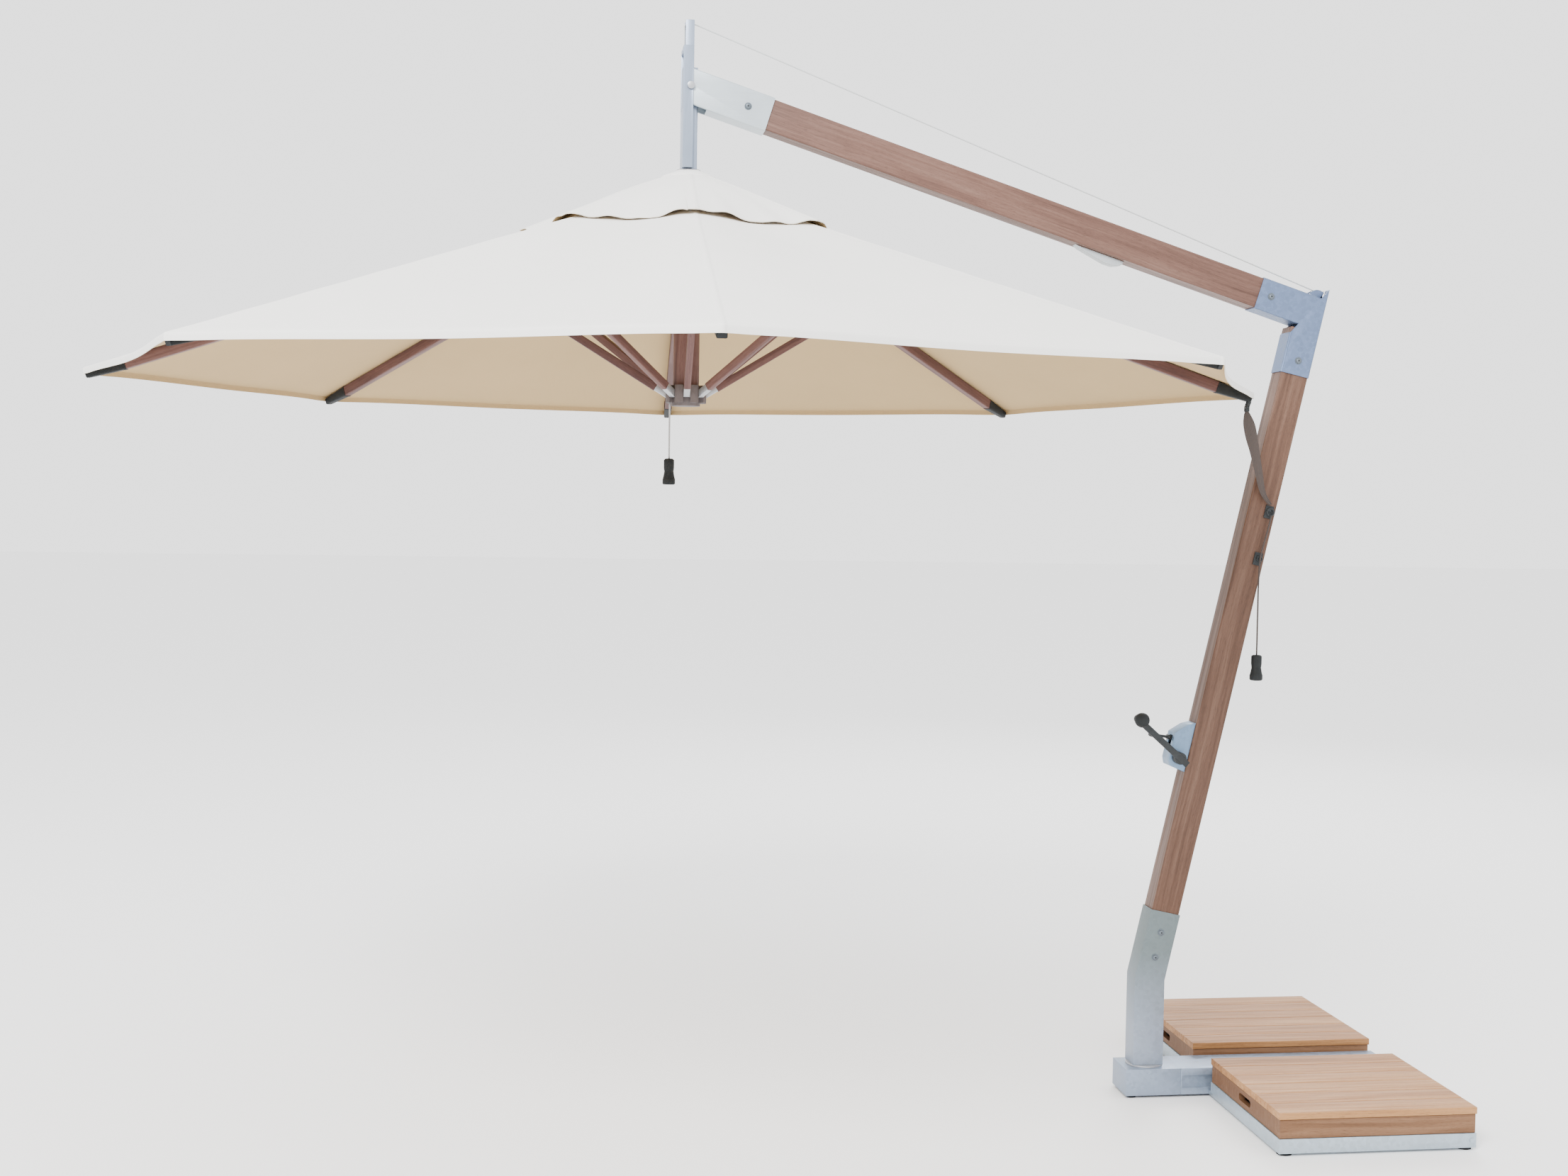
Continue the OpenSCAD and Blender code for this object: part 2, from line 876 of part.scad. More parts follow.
// Eye with its pin under the cap of the first rib, for the shackle of the strap
tip_hole = 12;
eye_drop = 23;
module shackle_eye() {
    eye_z = -tip_hole * sin(rib_fall) - eye_drop * cos(rib_fall);
    translate([rib_len - tip_hole * cos(rib_fall) + eye_drop * sin(rib_fall), 0, eye_z]) {
        cross_bar(2.5, 23);
        for (s = [-1, 1])
            translate([0, s * 10.6, 0]) {
                cross_bar(4.5, 2.2);
                translate([-4.5, -1.1, 0])
                    cube([8, 2.2, -eye_z - rib_h / 2 - 1]);
            }
    }
}

// A rib: timber bar, steel tongue on the crown pin, strut bracket with its pin, and end cap
module rib(k) {
    on_rib(k) {
        color(timber)
            difference() {
                translate([80, -rib_w / 2, -rib_h / 2])
                    cube([rib_len - cap_l - 80, rib_w, rib_h]);
                translate([79, -6, -12])
                    cube([71, 12, 24]);
            }
        color(steel)
            difference() {
                union() {
                    cross_bar(12, 12);
                    translate([0, -6, -12])
                        cube([150, 12, 24]);
                }
                cross_bar(4.06, 20);
            }
        color(dark_grey)
            translate([rib_len - cap_l, -rib_w / 2 - 1, -rib_h / 2 - 1])
                cube([cap_l, rib_w + 2, rib_h + 2]);
        color(steel) {
            for (s = [-1, 1])
                translate([0, s * (rib_w / 2 + 1.5) - 1.5, 0]) {
                    translate([strut_at - 18, 0, -strut_drop])
                        cube([36, 3, strut_drop + 12]);
                    translate([strut_at, 1.5, -strut_drop])
                        cross_bar(14, 3);
                }
            translate([strut_at, 0, -strut_drop])
                cross_bar(4, rib_w);
            if (k == 1)
                shackle_eye();
        }
    }
}

// A strut: timber bar with a steel eye on the pin of the rib and a foot in the runner
module strut(k) {
    on_rib_plane(k)
        translate([joint_r, 0, joint_z])
            rotate([0, -strut_rise, 0]) {
                color(timber)
                    translate([-strut_len + 40, -strut_w / 2, -strut_h / 2])
                        cube([strut_len - 80, strut_w, strut_h]);
                color(steel)
                    difference() {
                        union() {
                            cross_bar(10, strut_w);
                            translate([-40, -strut_w / 2, -8])
                                cube([40, strut_w, 16]);
                        }
                        cross_bar(4.06, 40);
                    }
                color(steel) {
                    translate([-strut_len, 0, 0])
                        cross_bar(10, strut_w);
                    translate([-strut_len, -strut_w / 2, -10])
                        cube([40, strut_w, 20]);
                }
            }
}

// One cloth gore over a rib: a ridge on the rib, two flats to the middles of the bays
half_bay = 22.5;
seam_gap = 0.4;
function bay_middle(r) = [r * pow(cos(half_bay), 2), r * cos(half_bay) * sin(half_bay) - seam_gap];
module gore(r_in, r_out, z_in, z_out, dip) {
    inner = bay_middle(r_in);
    outer = bay_middle(r_out - dip);
    z_mid = z_in + (z_out - z_in) * (r_out - dip - r_in) / (r_out - r_in);
    top = [[r_in, 0, z_in], [inner[0], inner[1], z_in], [outer[0], outer[1], z_mid],
        [r_out, 0, z_out], [outer[0], -outer[1], z_mid], [inner[0], -inner[1], z_in]];
    points = concat(top, [for (p = top) p - [0, 0, cloth_t]]);
    polyhedron(points, [[0, 3, 2, 1], [0, 5, 4, 3], [6, 7, 8, 9], [6, 9, 10, 11],
        [0, 1, 7, 6], [1, 2, 8, 7], [2, 3, 9, 8], [3, 4, 10, 9], [4, 5, 11, 10], [5, 0, 6, 11]]);
}

module canopy(k) {
    lift = (cloth_lift + cloth_t) / cos(rib_fall);
    line_z = crown_z + crown_r * tan(rib_fall) + lift;
    color(cloth)
        on_rib_plane(k) {
            gore(340, corner_r, line_z - 340 * tan(rib_fall), line_z - corner_r * tan(rib_fall), 26);
            gore(40, vent_r, vent_peak_z, vent_edge_z, 10);
        }
}

// Shackle at the tip of the first rib, and the strap that hangs from it to the ring on the mast
shackle_at = [canopy_r - tip_hole, 0, tip_z - eye_drop];
shackle_pin = 10;
module strap_shackle() {
    color(steel)
        on_rib_plane(1)
            translate(shackle_at) {
                difference() {
                    union() {
                        cross_bar(6, 18);
                        translate([-6, -9, -shackle_pin - 4])
                            cube([12, 18, shackle_pin + 4]);
                    }
                    cross_bar(2.54, 20);
                    translate([-7, -6, -shackle_pin - 5])
                        cube([14, 12, shackle_pin + 0.5]);
                }
                translate([0, 0, -shackle_pin])
                    cross_bar(2.5, 12);
            }
}

strap_top = [post_x + shackle_at[0] * cos(crown_turn), shackle_at[0] * sin(crown_turn),
    shackle_at[2] - shackle_pin - 3];
strap_line = [strap_top, strap_top + [9, 1, -40], strap_top + [32, 6, -126], strap_top + [50, 11, -196],
    strap_top + [66, 16, -251], [349, -54, 1862]];
strap_widths = [10, 38, 30, 24, 18, 12];
module tilt_strap() {
    t = 1.2;
    n = len(strap_line);
    points = [for (i = [0:n - 1]) let (w = strap_widths[i] / 2, p = strap_line[i])
        each [p + [-w, -t, -w * 0.16], p + [w, -t, w * 0.16], p + [w, t, w * 0.16], p + [-w, t, -w * 0.16]]];
    sides = [for (i = [0:n - 2], j = [0:3])
        [i * 4 + j, i * 4 + (j + 1) % 4, (i + 1) * 4 + (j + 1) % 4, (i + 1) * 4 + j]];
    color(webbing)
        polyhedron(points, concat(sides, [[3, 2, 1, 0], [for (j = [0:3]) (n - 1) * 4 + j]]));
}

base_beam();
ballast_trays();
levelling_feet();
ballast_slabs();
cover_near();
cover_far();
swivel_spigot();
mast_socket();
mast_pole();
elbow_bracket();
boom_pole();
boom_bracket();
frame_bolts();
elbow_sheave();
hoist_line();
winch_housing();
winch_drum();
winch_crank();
crank_knob();
ratchet_lever();
strap_ring();
tilt_cord();
tilt_toggle();
boom_cleat();
king_post();
king_head();
head_sheave();
tilt_pin();
crown_hub();
runner_hub();
runner_sleeve();
guide_tube();
pull_cord();
pull_handle();
tilt_strap();
strap_shackle();
for (k = [1:8]) {
    rib(k);
    strut(k);
    canopy(k);
}
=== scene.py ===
import json
import math

import bmesh
import bpy
from mathutils import Matrix, Vector


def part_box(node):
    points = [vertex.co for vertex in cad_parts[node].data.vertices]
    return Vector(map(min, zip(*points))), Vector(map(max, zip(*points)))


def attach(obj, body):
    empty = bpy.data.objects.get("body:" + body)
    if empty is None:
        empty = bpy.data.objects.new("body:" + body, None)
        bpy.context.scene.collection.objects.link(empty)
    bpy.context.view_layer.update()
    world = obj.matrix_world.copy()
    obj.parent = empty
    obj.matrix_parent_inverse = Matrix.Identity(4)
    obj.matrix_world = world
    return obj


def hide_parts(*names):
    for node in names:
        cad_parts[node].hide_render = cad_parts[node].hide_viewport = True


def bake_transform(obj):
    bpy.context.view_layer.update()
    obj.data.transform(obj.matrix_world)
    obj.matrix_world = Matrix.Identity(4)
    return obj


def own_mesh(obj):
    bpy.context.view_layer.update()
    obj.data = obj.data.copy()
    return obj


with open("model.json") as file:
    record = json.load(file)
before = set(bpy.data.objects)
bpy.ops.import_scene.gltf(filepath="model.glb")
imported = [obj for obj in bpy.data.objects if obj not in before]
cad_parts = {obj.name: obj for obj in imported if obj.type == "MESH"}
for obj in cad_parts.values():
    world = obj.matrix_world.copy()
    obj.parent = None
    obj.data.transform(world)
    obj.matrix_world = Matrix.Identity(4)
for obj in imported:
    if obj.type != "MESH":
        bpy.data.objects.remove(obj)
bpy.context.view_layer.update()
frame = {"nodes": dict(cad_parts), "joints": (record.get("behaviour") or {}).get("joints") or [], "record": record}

# ---------------------------------------------------------------------------------------------
# Camera. It stands at eye height in front of the boom, a little to the canopy side, and looks
# across the whole frame with a slight roll, as a hand-held view does.
EYE = Vector((-1.951, -5.615, 1.8265))
LOOK_TURN, LOOK_DIP, LOOK_ROLL = (math.radians(a) for a in (7.898, -2.431, 0.857))
ahead = Vector((math.sin(LOOK_TURN) * math.cos(LOOK_DIP), math.cos(LOOK_TURN) * math.cos(LOOK_DIP),
                math.sin(LOOK_DIP)))
level = Vector((math.cos(LOOK_TURN), -math.sin(LOOK_TURN), 0))
over = level.cross(ahead)
right = level * math.cos(LOOK_ROLL) + over * math.sin(LOOK_ROLL)
upward = over * math.cos(LOOK_ROLL) - level * math.sin(LOOK_ROLL)
lens = bpy.data.cameras.new("view")
lens.lens = 42.77
lens.sensor_width = 36
camera = bpy.data.objects.new("view", lens)
bpy.context.scene.collection.objects.link(camera)
camera.matrix_world = Matrix.Translation(EYE) @ Matrix((right, upward, -ahead)).transposed().to_4x4()
bpy.context.scene.camera = camera


# ---------------------------------------------------------------------------------------------
# Free cords. A light braided cord hangs from the runner with its pull handle, and the dark tail
# of the tilt strap hangs from the guide eye on the mast to a toggle. Both are limp 5 mm braid.
def new_piece(name, points, faces):
    """A mesh object at the origin, its place in its points."""
    mesh = bpy.data.meshes.new(name)
    mesh.from_pydata([tuple(p) for p in points], [], faces)
    mesh.update()
    piece = bpy.data.objects.new(name, mesh)
    bpy.context.scene.collection.objects.link(piece)
    return piece


def tube(name, path, radius, sides=10):
    """A round cord along path, closed at both ends, with a map of turns round it by metres along it."""
    path = [Vector(p) for p in path]
    across = Vector((0.05, 1, 0))
    points, faces, run = [], [], [0.0]
    for i, point in enumerate(path):
        heading = (path[min(i + 1, len(path) - 1)] - path[max(i - 1, 0)]).normalized()
        side = heading.cross(across).normalized()
        other = heading.cross(side)
        turns = [2 * math.pi * j / sides for j in range(sides)]
        points += [point + radius * (math.cos(a) * side + math.sin(a) * other) for a in turns]
        if i:
            run.append(run[-1] + (point - path[i - 1]).length)
    for i in range(len(path) - 1):
        for j in range(sides):
            k = (j + 1) % sides
            faces.append((i * sides + j, i * sides + k, (i + 1) * sides + k, (i + 1) * sides + j))
    faces.append(tuple(reversed(range(sides))))
    faces.append(tuple((len(path) - 1) * sides + j for j in range(sides)))
    piece = new_piece(name, points, faces)
    uv = piece.data.uv_layers.new(name="along").data
    for face in piece.data.polygons:
        face.use_smooth = len(face.vertices) == 4
        first = face.vertices[0] % sides
        for loop in face.loop_indices:
            v = piece.data.loops[loop].vertex_index
            turn = v % sides
            turn += sides if turn < first - 1 or (first == sides - 1 and turn == 0) else 0
            uv[loop].uv = (turn / sides, run[v // sides])
    face_outward(piece)
    return piece


def face_outward(piece):
    """Recalculates the normals of a closed mesh."""
    made = bmesh.new()
    made.from_mesh(piece.data)
    bmesh.ops.recalc_face_normals(made, faces=made.faces)
    made.to_mesh(piece.data)
    made.free()


CORD_RADIUS = 0.0025
TILT_CORD_Y = -0.0524
tilt_route = [(x, TILT_CORD_Y, z) for x, z in (
    (0.354, 1.828), (0.352, 1.815), (0.346, 1.790), (0.338, 1.760), (0.331, 1.735), (0.325, 1.712),
    (0.322, 1.695), (0.320, 1.670), (0.319, 1.640), (0.318, 1.600), (0.318, 1.550), (0.318, 1.500),
    (0.318, 1.450), (0.318, 1.410), (0.318, 1.392))]
tilt_cord = tube("tilt_strap_tail", tilt_route, CORD_RADIUS)
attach(tilt_cord, "mast")
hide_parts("tilt_cord")

pull_low, pull_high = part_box("pull_cord")
pull_middle = (pull_low + pull_high) / 2
PULL_STEPS = 14
pull_route = [(pull_middle.x, pull_middle.y, pull_high.z + (pull_low.z - pull_high.z) * n / PULL_STEPS)
              for n in range(PULL_STEPS + 1)]
pull_cord = tube("runner_pull_cord", pull_route, CORD_RADIUS)
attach(pull_cord, "runner")
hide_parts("pull_cord")


# ---------------------------------------------------------------------------------------------
# Floor and light. A pale floor under a bright even sky, with a broad soft key from the upper
# left, as in a white studio.
def new_material(name):
    """A material with its node tree and its shader."""
    material = bpy.data.materials.new(name)
    material.use_nodes = True
    return material, material.node_tree, material.node_tree.nodes["Principled BSDF"]


def feed(tree, node, **inputs):
    """Links or sets a node's inputs, each named with _ for a space, or i0, i1 for its number."""
    for key, value in inputs.items():
        numbered = key[0] == "i" and key[1:].isdigit()
        socket = node.inputs[int(key[1:]) if numbered else key.replace("_", " ")]
        if isinstance(value, bpy.types.NodeSocket):
            tree.links.new(value, socket)
        else:
            socket.default_value = value
    return node


def add(tree, kind, settings=None, **inputs):
    """Adds a node with its settings and inputs."""
    made = tree.nodes.new(kind)
    for key, value in (settings or {}).items():
        setattr(made, key, value)
    return feed(tree, made, **inputs)


floor_paint, tree, shader = new_material("pale_floor")
feed(tree, shader, Base_Color=(0.93, 0.93, 0.93, 1), Roughness=0.7)
FLOOR_HALF = 60
floor = new_piece("floor", [(-FLOOR_HALF, -FLOOR_HALF, 0), (FLOOR_HALF, -FLOOR_HALF, 0),
                            (FLOOR_HALF, FLOOR_HALF, 0), (-FLOOR_HALF, FLOOR_HALF, 0)], [(0, 1, 2, 3)])
floor.data.materials.append(floor_paint)

sky = bpy.data.worlds.new("studio")
bpy.context.scene.world = sky
sky.use_nodes = True
feed(sky.node_tree, sky.node_tree.nodes["Background"], Color=(1, 1, 1, 1), Strength=2.3)


def soft_light(name, place, aim, power):
    """A broad round lamp turned to a point."""
    light = bpy.data.lights.new(name, "AREA")
    light.shape = "DISK"
    light.size = 4
    light.energy = power
    lamp = bpy.data.objects.new(name, light)
    bpy.context.scene.collection.objects.link(lamp)
    lamp.location = place
    lamp.rotation_euler = (Vector(aim) - Vector(place)).to_track_quat("-Z", "Y").to_euler()


soft_light("key", (-5, -7, 8), (-0.8, 0, 1.8), 1500)
soft_light("rim", (3, 7, 6), (-0.8, 0, 2.4), 350)


# ---------------------------------------------------------------------------------------------
# Base beam, ballast trays, spigot and pads. Folded steel sheet, hot-dip galvanised after it is
# welded, so its edges are soft and its zinc shows a faint spangle. It stands on rubber pads.
def softened(node, name, width=0.0012, segments=2):
    """A copy of a CAD node with its facets merged and its edges rounded, which stands for it."""
    piece = bpy.data.objects.new(name, frame["nodes"][node].data.copy())
    bpy.context.scene.collection.objects.link(piece)
    made = bmesh.new()
    made.from_mesh(piece.data)
    bmesh.ops.remove_doubles(made, verts=made.verts, dist=0.00002)
    bmesh.ops.dissolve_limit(made, angle_limit=math.radians(0.5), verts=made.verts, edges=made.edges)
    made.to_mesh(piece.data)
    made.free()
    bevel = piece.modifiers.new("edges", "BEVEL")
    bevel.width = width
    bevel.segments = segments
    bevel.limit_method = "ANGLE"
    bevel.angle_limit = math.radians(35)
    bevel.use_clamp_overlap = True
    smooth_by_angle(bake_modifiers(piece))
    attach(piece, body_of_node[node])
    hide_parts(node)
    return piece


def bake_modifiers(piece):
    """Turns what the modifiers give into the plain mesh of the piece."""
    bpy.context.view_layer.update()
    seen = piece.evaluated_get(bpy.context.evaluated_depsgraph_get())
    mesh = bpy.data.meshes.new_from_object(seen)
    piece.modifiers.clear()
    piece.data = mesh
    return piece


def smooth_by_angle(piece, degrees=32):
    """Shades a piece smooth, apart from edges sharper than an angle."""
    for face in piece.data.polygons:
        face.use_smooth = True
    piece.data.set_sharp_from_angle(angle=math.radians(degrees))
    return piece


def paint(piece, material):
    """Gives a piece one material."""
    piece.data.materials.clear()
    piece.data.materials.append(material)
    return piece


body_of_node = {n: body for body, nodes in frame["record"]["behaviour"]["bodies"].items() for n in nodes}


def at_place(tree):
    """Object coordinates, in metres."""
    return add(tree, "ShaderNodeTexCoord").outputs["Object"]


def noise(tree, at, scale, detail, **more):
    """A noise texture's value."""
    return add(tree, "ShaderNodeTexNoise", Vector=at, Scale=scale, Detail=detail, **more).outputs["Fac"]


def ranged(tree, value, low, high, to_low, to_high):
    """A value carried from one range to another, and held inside it."""
    return add(tree, "ShaderNodeMapRange", Value=value, From_Min=low, From_Max=high, To_Min=to_low,
               To_Max=to_high).outputs["Result"]


def maths(tree, operation, *terms, kind="ShaderNodeMath"):
    """The result of a Math node on sockets or numbers."""
    numbered = {f"i{n}": term for n, term in enumerate(terms)}
    return add(tree, kind, {"operation": operation}, **numbered).outputs[0]


def vectors(tree, operation, *terms):
    """The result of a Vector Math node on sockets or vectors."""
    return maths(tree, operation, *terms, kind="ShaderNodeVectorMath")


def scaled(tree, vector, share):
    """A colour or a vector times a value."""
    return add(tree, "ShaderNodeVectorMath", {"operation": "SCALE"}, i0=vector, Scale=share).outputs[0]


def mixed(tree, share, first, second):
    """A share of the way from one value to another."""
    return add(tree, "ShaderNodeMix", {"data_type": "FLOAT"}, i0=share, i2=first, i3=second).outputs[0]


def bumped(tree, height, strength, distance):
    """A normal from a height."""
    return add(tree, "ShaderNodeBump", Strength=strength, Distance=distance, Height=height).outputs["Normal"]


def galvanised_steel(name, colour, roughness, foot=None, turn_at=None):
    """Zinc coat: crystals a centimetre or two across, cloudy patches and fine grain. A foot colour
    takes over below a height."""
    material, tree, shader = new_material(name)
    place = at_place(tree)
    crystals = add(tree, "ShaderNodeTexVoronoi", Vector=place, Scale=95.0, Randomness=1.0)
    tone = mixed(tree, 0.45, crystals.outputs["Color"], noise(tree, place, 7.0, 5.0, Roughness=0.6))
    if foot:
        height = add(tree, "ShaderNodeSeparateXYZ", Vector=place).outputs["Z"]
        colour = add(tree, "ShaderNodeMix", {"data_type": "VECTOR"}, i0=ranged(tree, height, *turn_at, 0, 1),
                     i4=foot, i5=colour).outputs[1]
    feed(tree, shader, Metallic=0.55,
         Base_Color=scaled(tree, colour, ranged(tree, tone, 0.25, 0.75, 0.89, 1.08)),
         Roughness=ranged(tree, tone, 0.2, 0.8, roughness - 0.10, roughness + 0.12),
         Normal=bumped(tree, noise(tree, place, 420.0, 3.0), 0.12, 0.0006))
    return material


zinc = galvanised_steel("zinc_coat", (0.25, 0.305, 0.395), 0.44)
tray_zinc = galvanised_steel("tray_zinc", (0.37, 0.44, 0.50), 0.42)


def moulded(name, colour, roughness, grain=900.0, depth=0.25):
    """Moulded plastic or powder coat: one colour with a fine leathery grain and faint handling wear."""
    material, tree, shader = new_material(name)
    place = at_place(tree)
    worn = noise(tree, place, 28.0, 6.0, Roughness=0.7)
    feed(tree, shader, Specular_IOR_Level=0.12,
         Base_Color=scaled(tree, colour, ranged(tree, worn, 0.3, 0.75, 0.82, 1.35)),
         Roughness=ranged(tree, worn, 0.3, 0.7, roughness - 0.08, roughness + 0.10),
         Normal=bumped(tree, noise(tree, place, grain, 2.0), depth, 0.0003))
    return material


dark_plastic = moulded("dark_moulding", (0.018, 0.020, 0.021), 0.55)
dark_coat = moulded("dark_powder_coat", (0.030, 0.033, 0.035), 0.48, 700.0, 0.2)
pad_rubber = moulded("pad_rubber", (0.012, 0.012, 0.013), 0.75)


def satin_metal(name, colour, roughness, brushed=(0, 0, 1)):
    """Satin metal with fine lines drawn along one direction."""
    material, tree, shader = new_material(name)
    place = at_place(tree)
    stretch = [14.0 if along else 900.0 for along in brushed]
    hair = noise(tree, vectors(tree, "MULTIPLY", place, stretch), 1.0, 3.0)
    haze = noise(tree, place, 9.0, 4.0)
    feed(tree, shader, Metallic=0.7,
         Base_Color=scaled(tree, colour, ranged(tree, haze, 0.3, 0.7, 0.93, 1.05)),
         Roughness=ranged(tree, hair, 0.25, 0.75, roughness - 0.09, roughness + 0.09),
         Normal=bumped(tree, hair, 0.10, 0.0002))
    return material


stainless = satin_metal("satin_stainless", (0.42, 0.43, 0.45), 0.34)
dull_zinc = satin_metal("dull_bolt_zinc", (0.13, 0.155, 0.18), 0.46)

paint(softened("base_beam", "beam"), zinc)
paint(softened("ballast_trays", "trays"), tray_zinc)
paint(softened("levelling_feet", "pads", 0.0008), pad_rubber)
paint(softened("swivel_spigot", "spigot", 0.0008), stainless)


# ---------------------------------------------------------------------------------------------
# Ballast slabs. Cast stone, two in each tray under the covers, with broken air pits and a
# sandy grain.
def blended(tree, value, *stops):
    """A colour ramp through stops of (place, colour), the first and the last at its ends."""
    ramp = add(tree, "ShaderNodeValToRGB", Fac=value)
    ends = ramp.color_ramp.elements
    for element, (at, colour) in zip(ends, (stops[0], stops[-1])):
        element.position = at
        element.color = (*colour, 1)
    for at, colour in stops[1:-1]:
        ends.new(at).color = (*colour, 1)
    return ramp.outputs["Color"]


stone, tree, shader = new_material("cast_stone")
place = at_place(tree)
patches = noise(tree, place, 11.0, 4.0)
feed(tree, shader, Roughness=0.9,
     Base_Color=blended(tree, patches, (0, (0.30, 0.29, 0.27)), (1, (0.52, 0.50, 0.46))),
     Normal=bumped(tree, noise(tree, place, 260.0, 6.0, Roughness=0.7), 0.5, 0.001))
paint(softened("ballast_slabs", "slabs", 0.003, 3), stone)


# ---------------------------------------------------------------------------------------------
# Timber covers. Each is a loose lid: six oiled boards on a frame of four side boards, with a
# hand slot cut in the side that faces the mast. Boards are eased at the edges and differ in tone.
def oiled_timber(name, dark, mid, light, turn=None, gloss=0.45):
    """Hardwood: broad figure, drawn-out streaks, pores and a board-to-board shift, along local X.
    It reads the piece's grain attribute, or object coordinates turned so that X runs along the timber."""
    material, tree, shader = new_material(name)
    if turn:
        source = add(tree, "ShaderNodeMapping", Vector=at_place(tree), Rotation=turn).outputs["Vector"]
    else:
        source = add(tree, "ShaderNodeAttribute", {"attribute_name": "grain"}).outputs["Vector"]
    wander = add(tree, "ShaderNodeTexNoise", Vector=source, Scale=2.2, Detail=2.0).outputs["Color"]
    bend = vectors(tree, "MULTIPLY_ADD", wander, (0.0, 0.030, 0.030), source)

    def drawn_out(stretch, detail, **more):
        return noise(tree, vectors(tree, "MULTIPLY", bend, stretch), 1.0, detail, **more)

    streaks = drawn_out((2.2, 85.0, 85.0), 6.0, Roughness=0.62)
    figure = drawn_out((0.9, 22.0, 22.0), 3.0, Distortion=0.6)
    pits = ranged(tree, drawn_out((45.0, 1300.0, 1300.0), 2.0), 0.30, 0.46, 0.62, 1.0)
    tone = mixed(tree, 0.42, streaks, figure)
    if not turn:
        board = add(tree, "ShaderNodeAttribute", {"attribute_name": "board"}).outputs["Fac"]
        tone = maths(tree, "SUBTRACT", maths(tree, "MULTIPLY_ADD", board, 0.16, tone), 0.08)
    height = maths(tree, "MULTIPLY_ADD", pits, 0.6, streaks)
    feed(tree, shader, Specular_IOR_Level=0.22,
         Base_Color=scaled(tree, blended(tree, tone, (0.30, dark), (0.50, mid), (0.72, light)), pits),
         Roughness=ranged(tree, streaks, 0.3, 0.7, gloss + 0.12, gloss - 0.06),
         Normal=bumped(tree, height, 0.22, 0.0006))
    return material


def geometry_tree(name, **inputs):
    """An empty Geometry Nodes tree with a geometry output and named number or vector inputs."""
    tree = bpy.data.node_groups.new(name, "GeometryNodeTree")
    tree.interface.new_socket("Geometry", in_out="INPUT", socket_type="NodeSocketGeometry")
    tree.interface.new_socket("Geometry", in_out="OUTPUT", socket_type="NodeSocketGeometry")
    for key, value in inputs.items():
        kind = {int: "NodeSocketInt", float: "NodeSocketFloat"}.get(type(value), "NodeSocketVector")
        socket = tree.interface.new_socket(key.replace("_", " "), in_out="INPUT", socket_type=kind)
        socket.default_value = value
    return tree, tree.nodes.new("NodeGroupInput").outputs


def give(tree, geometry):
    """Realizes what a tree has made, and gives it out."""
    real = add(tree, "GeometryNodeRealizeInstances", Geometry=geometry)
    add(tree, "NodeGroupOutput", Geometry=real.outputs[0])
    return tree


def grow(piece, tree, **values):
    """Turns a piece into the mesh that a tree grows from it, with the tree's inputs set by name."""
    modifier = piece.modifiers.new("grow", "NODES")
    modifier.node_group = tree
    for item in tree.interface.items_tree:
        if item.in_out == "INPUT" and item.name.replace(" ", "_") in values:
            modifier[item.identifier] = values[item.name.replace(" ", "_")]
    return bake_modifiers(piece)


def grown(name, tree, **values):
    """A piece that a tree grows from one point at the origin."""
    return grow(new_piece(name, [(0, 0, 0)], []), tree, **values)


def moved(tree, geometry, place, turn=(0, 0, 0)):
    """In a tree: geometry turned and put in its place."""
    return add(tree, "GeometryNodeTransform", Geometry=geometry, Translation=place, Rotation=turn).outputs[0]


def coated(tree, geometry, material):
    """In a tree: geometry with one material."""
    return add(tree, "GeometryNodeSetMaterial", Geometry=geometry, Material=material).outputs[0]


def joined(tree, parts):
    """In a tree: parts as one geometry."""
    together = add(tree, "GeometryNodeJoinGeometry")
    for part in parts:
        tree.links.new(part, together.inputs[0])
    return together.outputs[0]


def stored(tree, geometry, name, value, domain="POINT"):
    """In a tree: a value stored on geometry, a vector for grain and a number for board."""
    kind = "FLOAT_VECTOR" if name == "grain" else "FLOAT"
    return add(tree, "GeometryNodeStoreNamedAttribute", {"data_type": kind, "domain": domain},
               Geometry=geometry, Name=name, Value=value).outputs[0]


def read_back(tree, name, kind):
    """In a tree: a value stored earlier."""
    return first_output(add(tree, "GeometryNodeInputNamedAttribute", {"data_type": kind}, Name=name))


def first_output(made):
    """The first output of a node that is switched on."""
    return next(s for s in made.outputs if s.enabled)


def eased_bar(tree, length, width, height, radius):
    """In a tree: a bar along +X from 0 to length with rounded long edges, its grain stored on it."""
    end = add(tree, "ShaderNodeCombineXYZ", X=length).outputs[0]
    line = add(tree, "GeometryNodeCurvePrimitiveLine", End=end).outputs[0]
    outline = add(tree, "GeometryNodeCurvePrimitiveQuadrilateral", Width=width, Height=height).outputs[0]
    rounded = add(tree, "GeometryNodeFilletCurve", {"mode": "POLY"}, Curve=outline, Radius=radius, Count=3)
    swept = add(tree, "GeometryNodeCurveToMesh", Curve=line, Profile_Curve=rounded.outputs[0],
                Fill_Caps=True)
    return stored(tree, swept.outputs[0], "grain", add(tree, "GeometryNodeInputPosition").outputs[0])


BOARD_EDGE = 0.0022
cover_timber = oiled_timber("cover_timber", (0.19, 0.082, 0.026), (0.33, 0.158, 0.060),
                            (0.45, 0.245, 0.105), gloss=0.5)
# The side boards are the same timber as the top, painted about half as bright as shade on the upright sides.
side_timber = oiled_timber("side_timber", (0.09, 0.040, 0.018), (0.160, 0.080, 0.040),
                           (0.24, 0.130, 0.070), gloss=0.55)


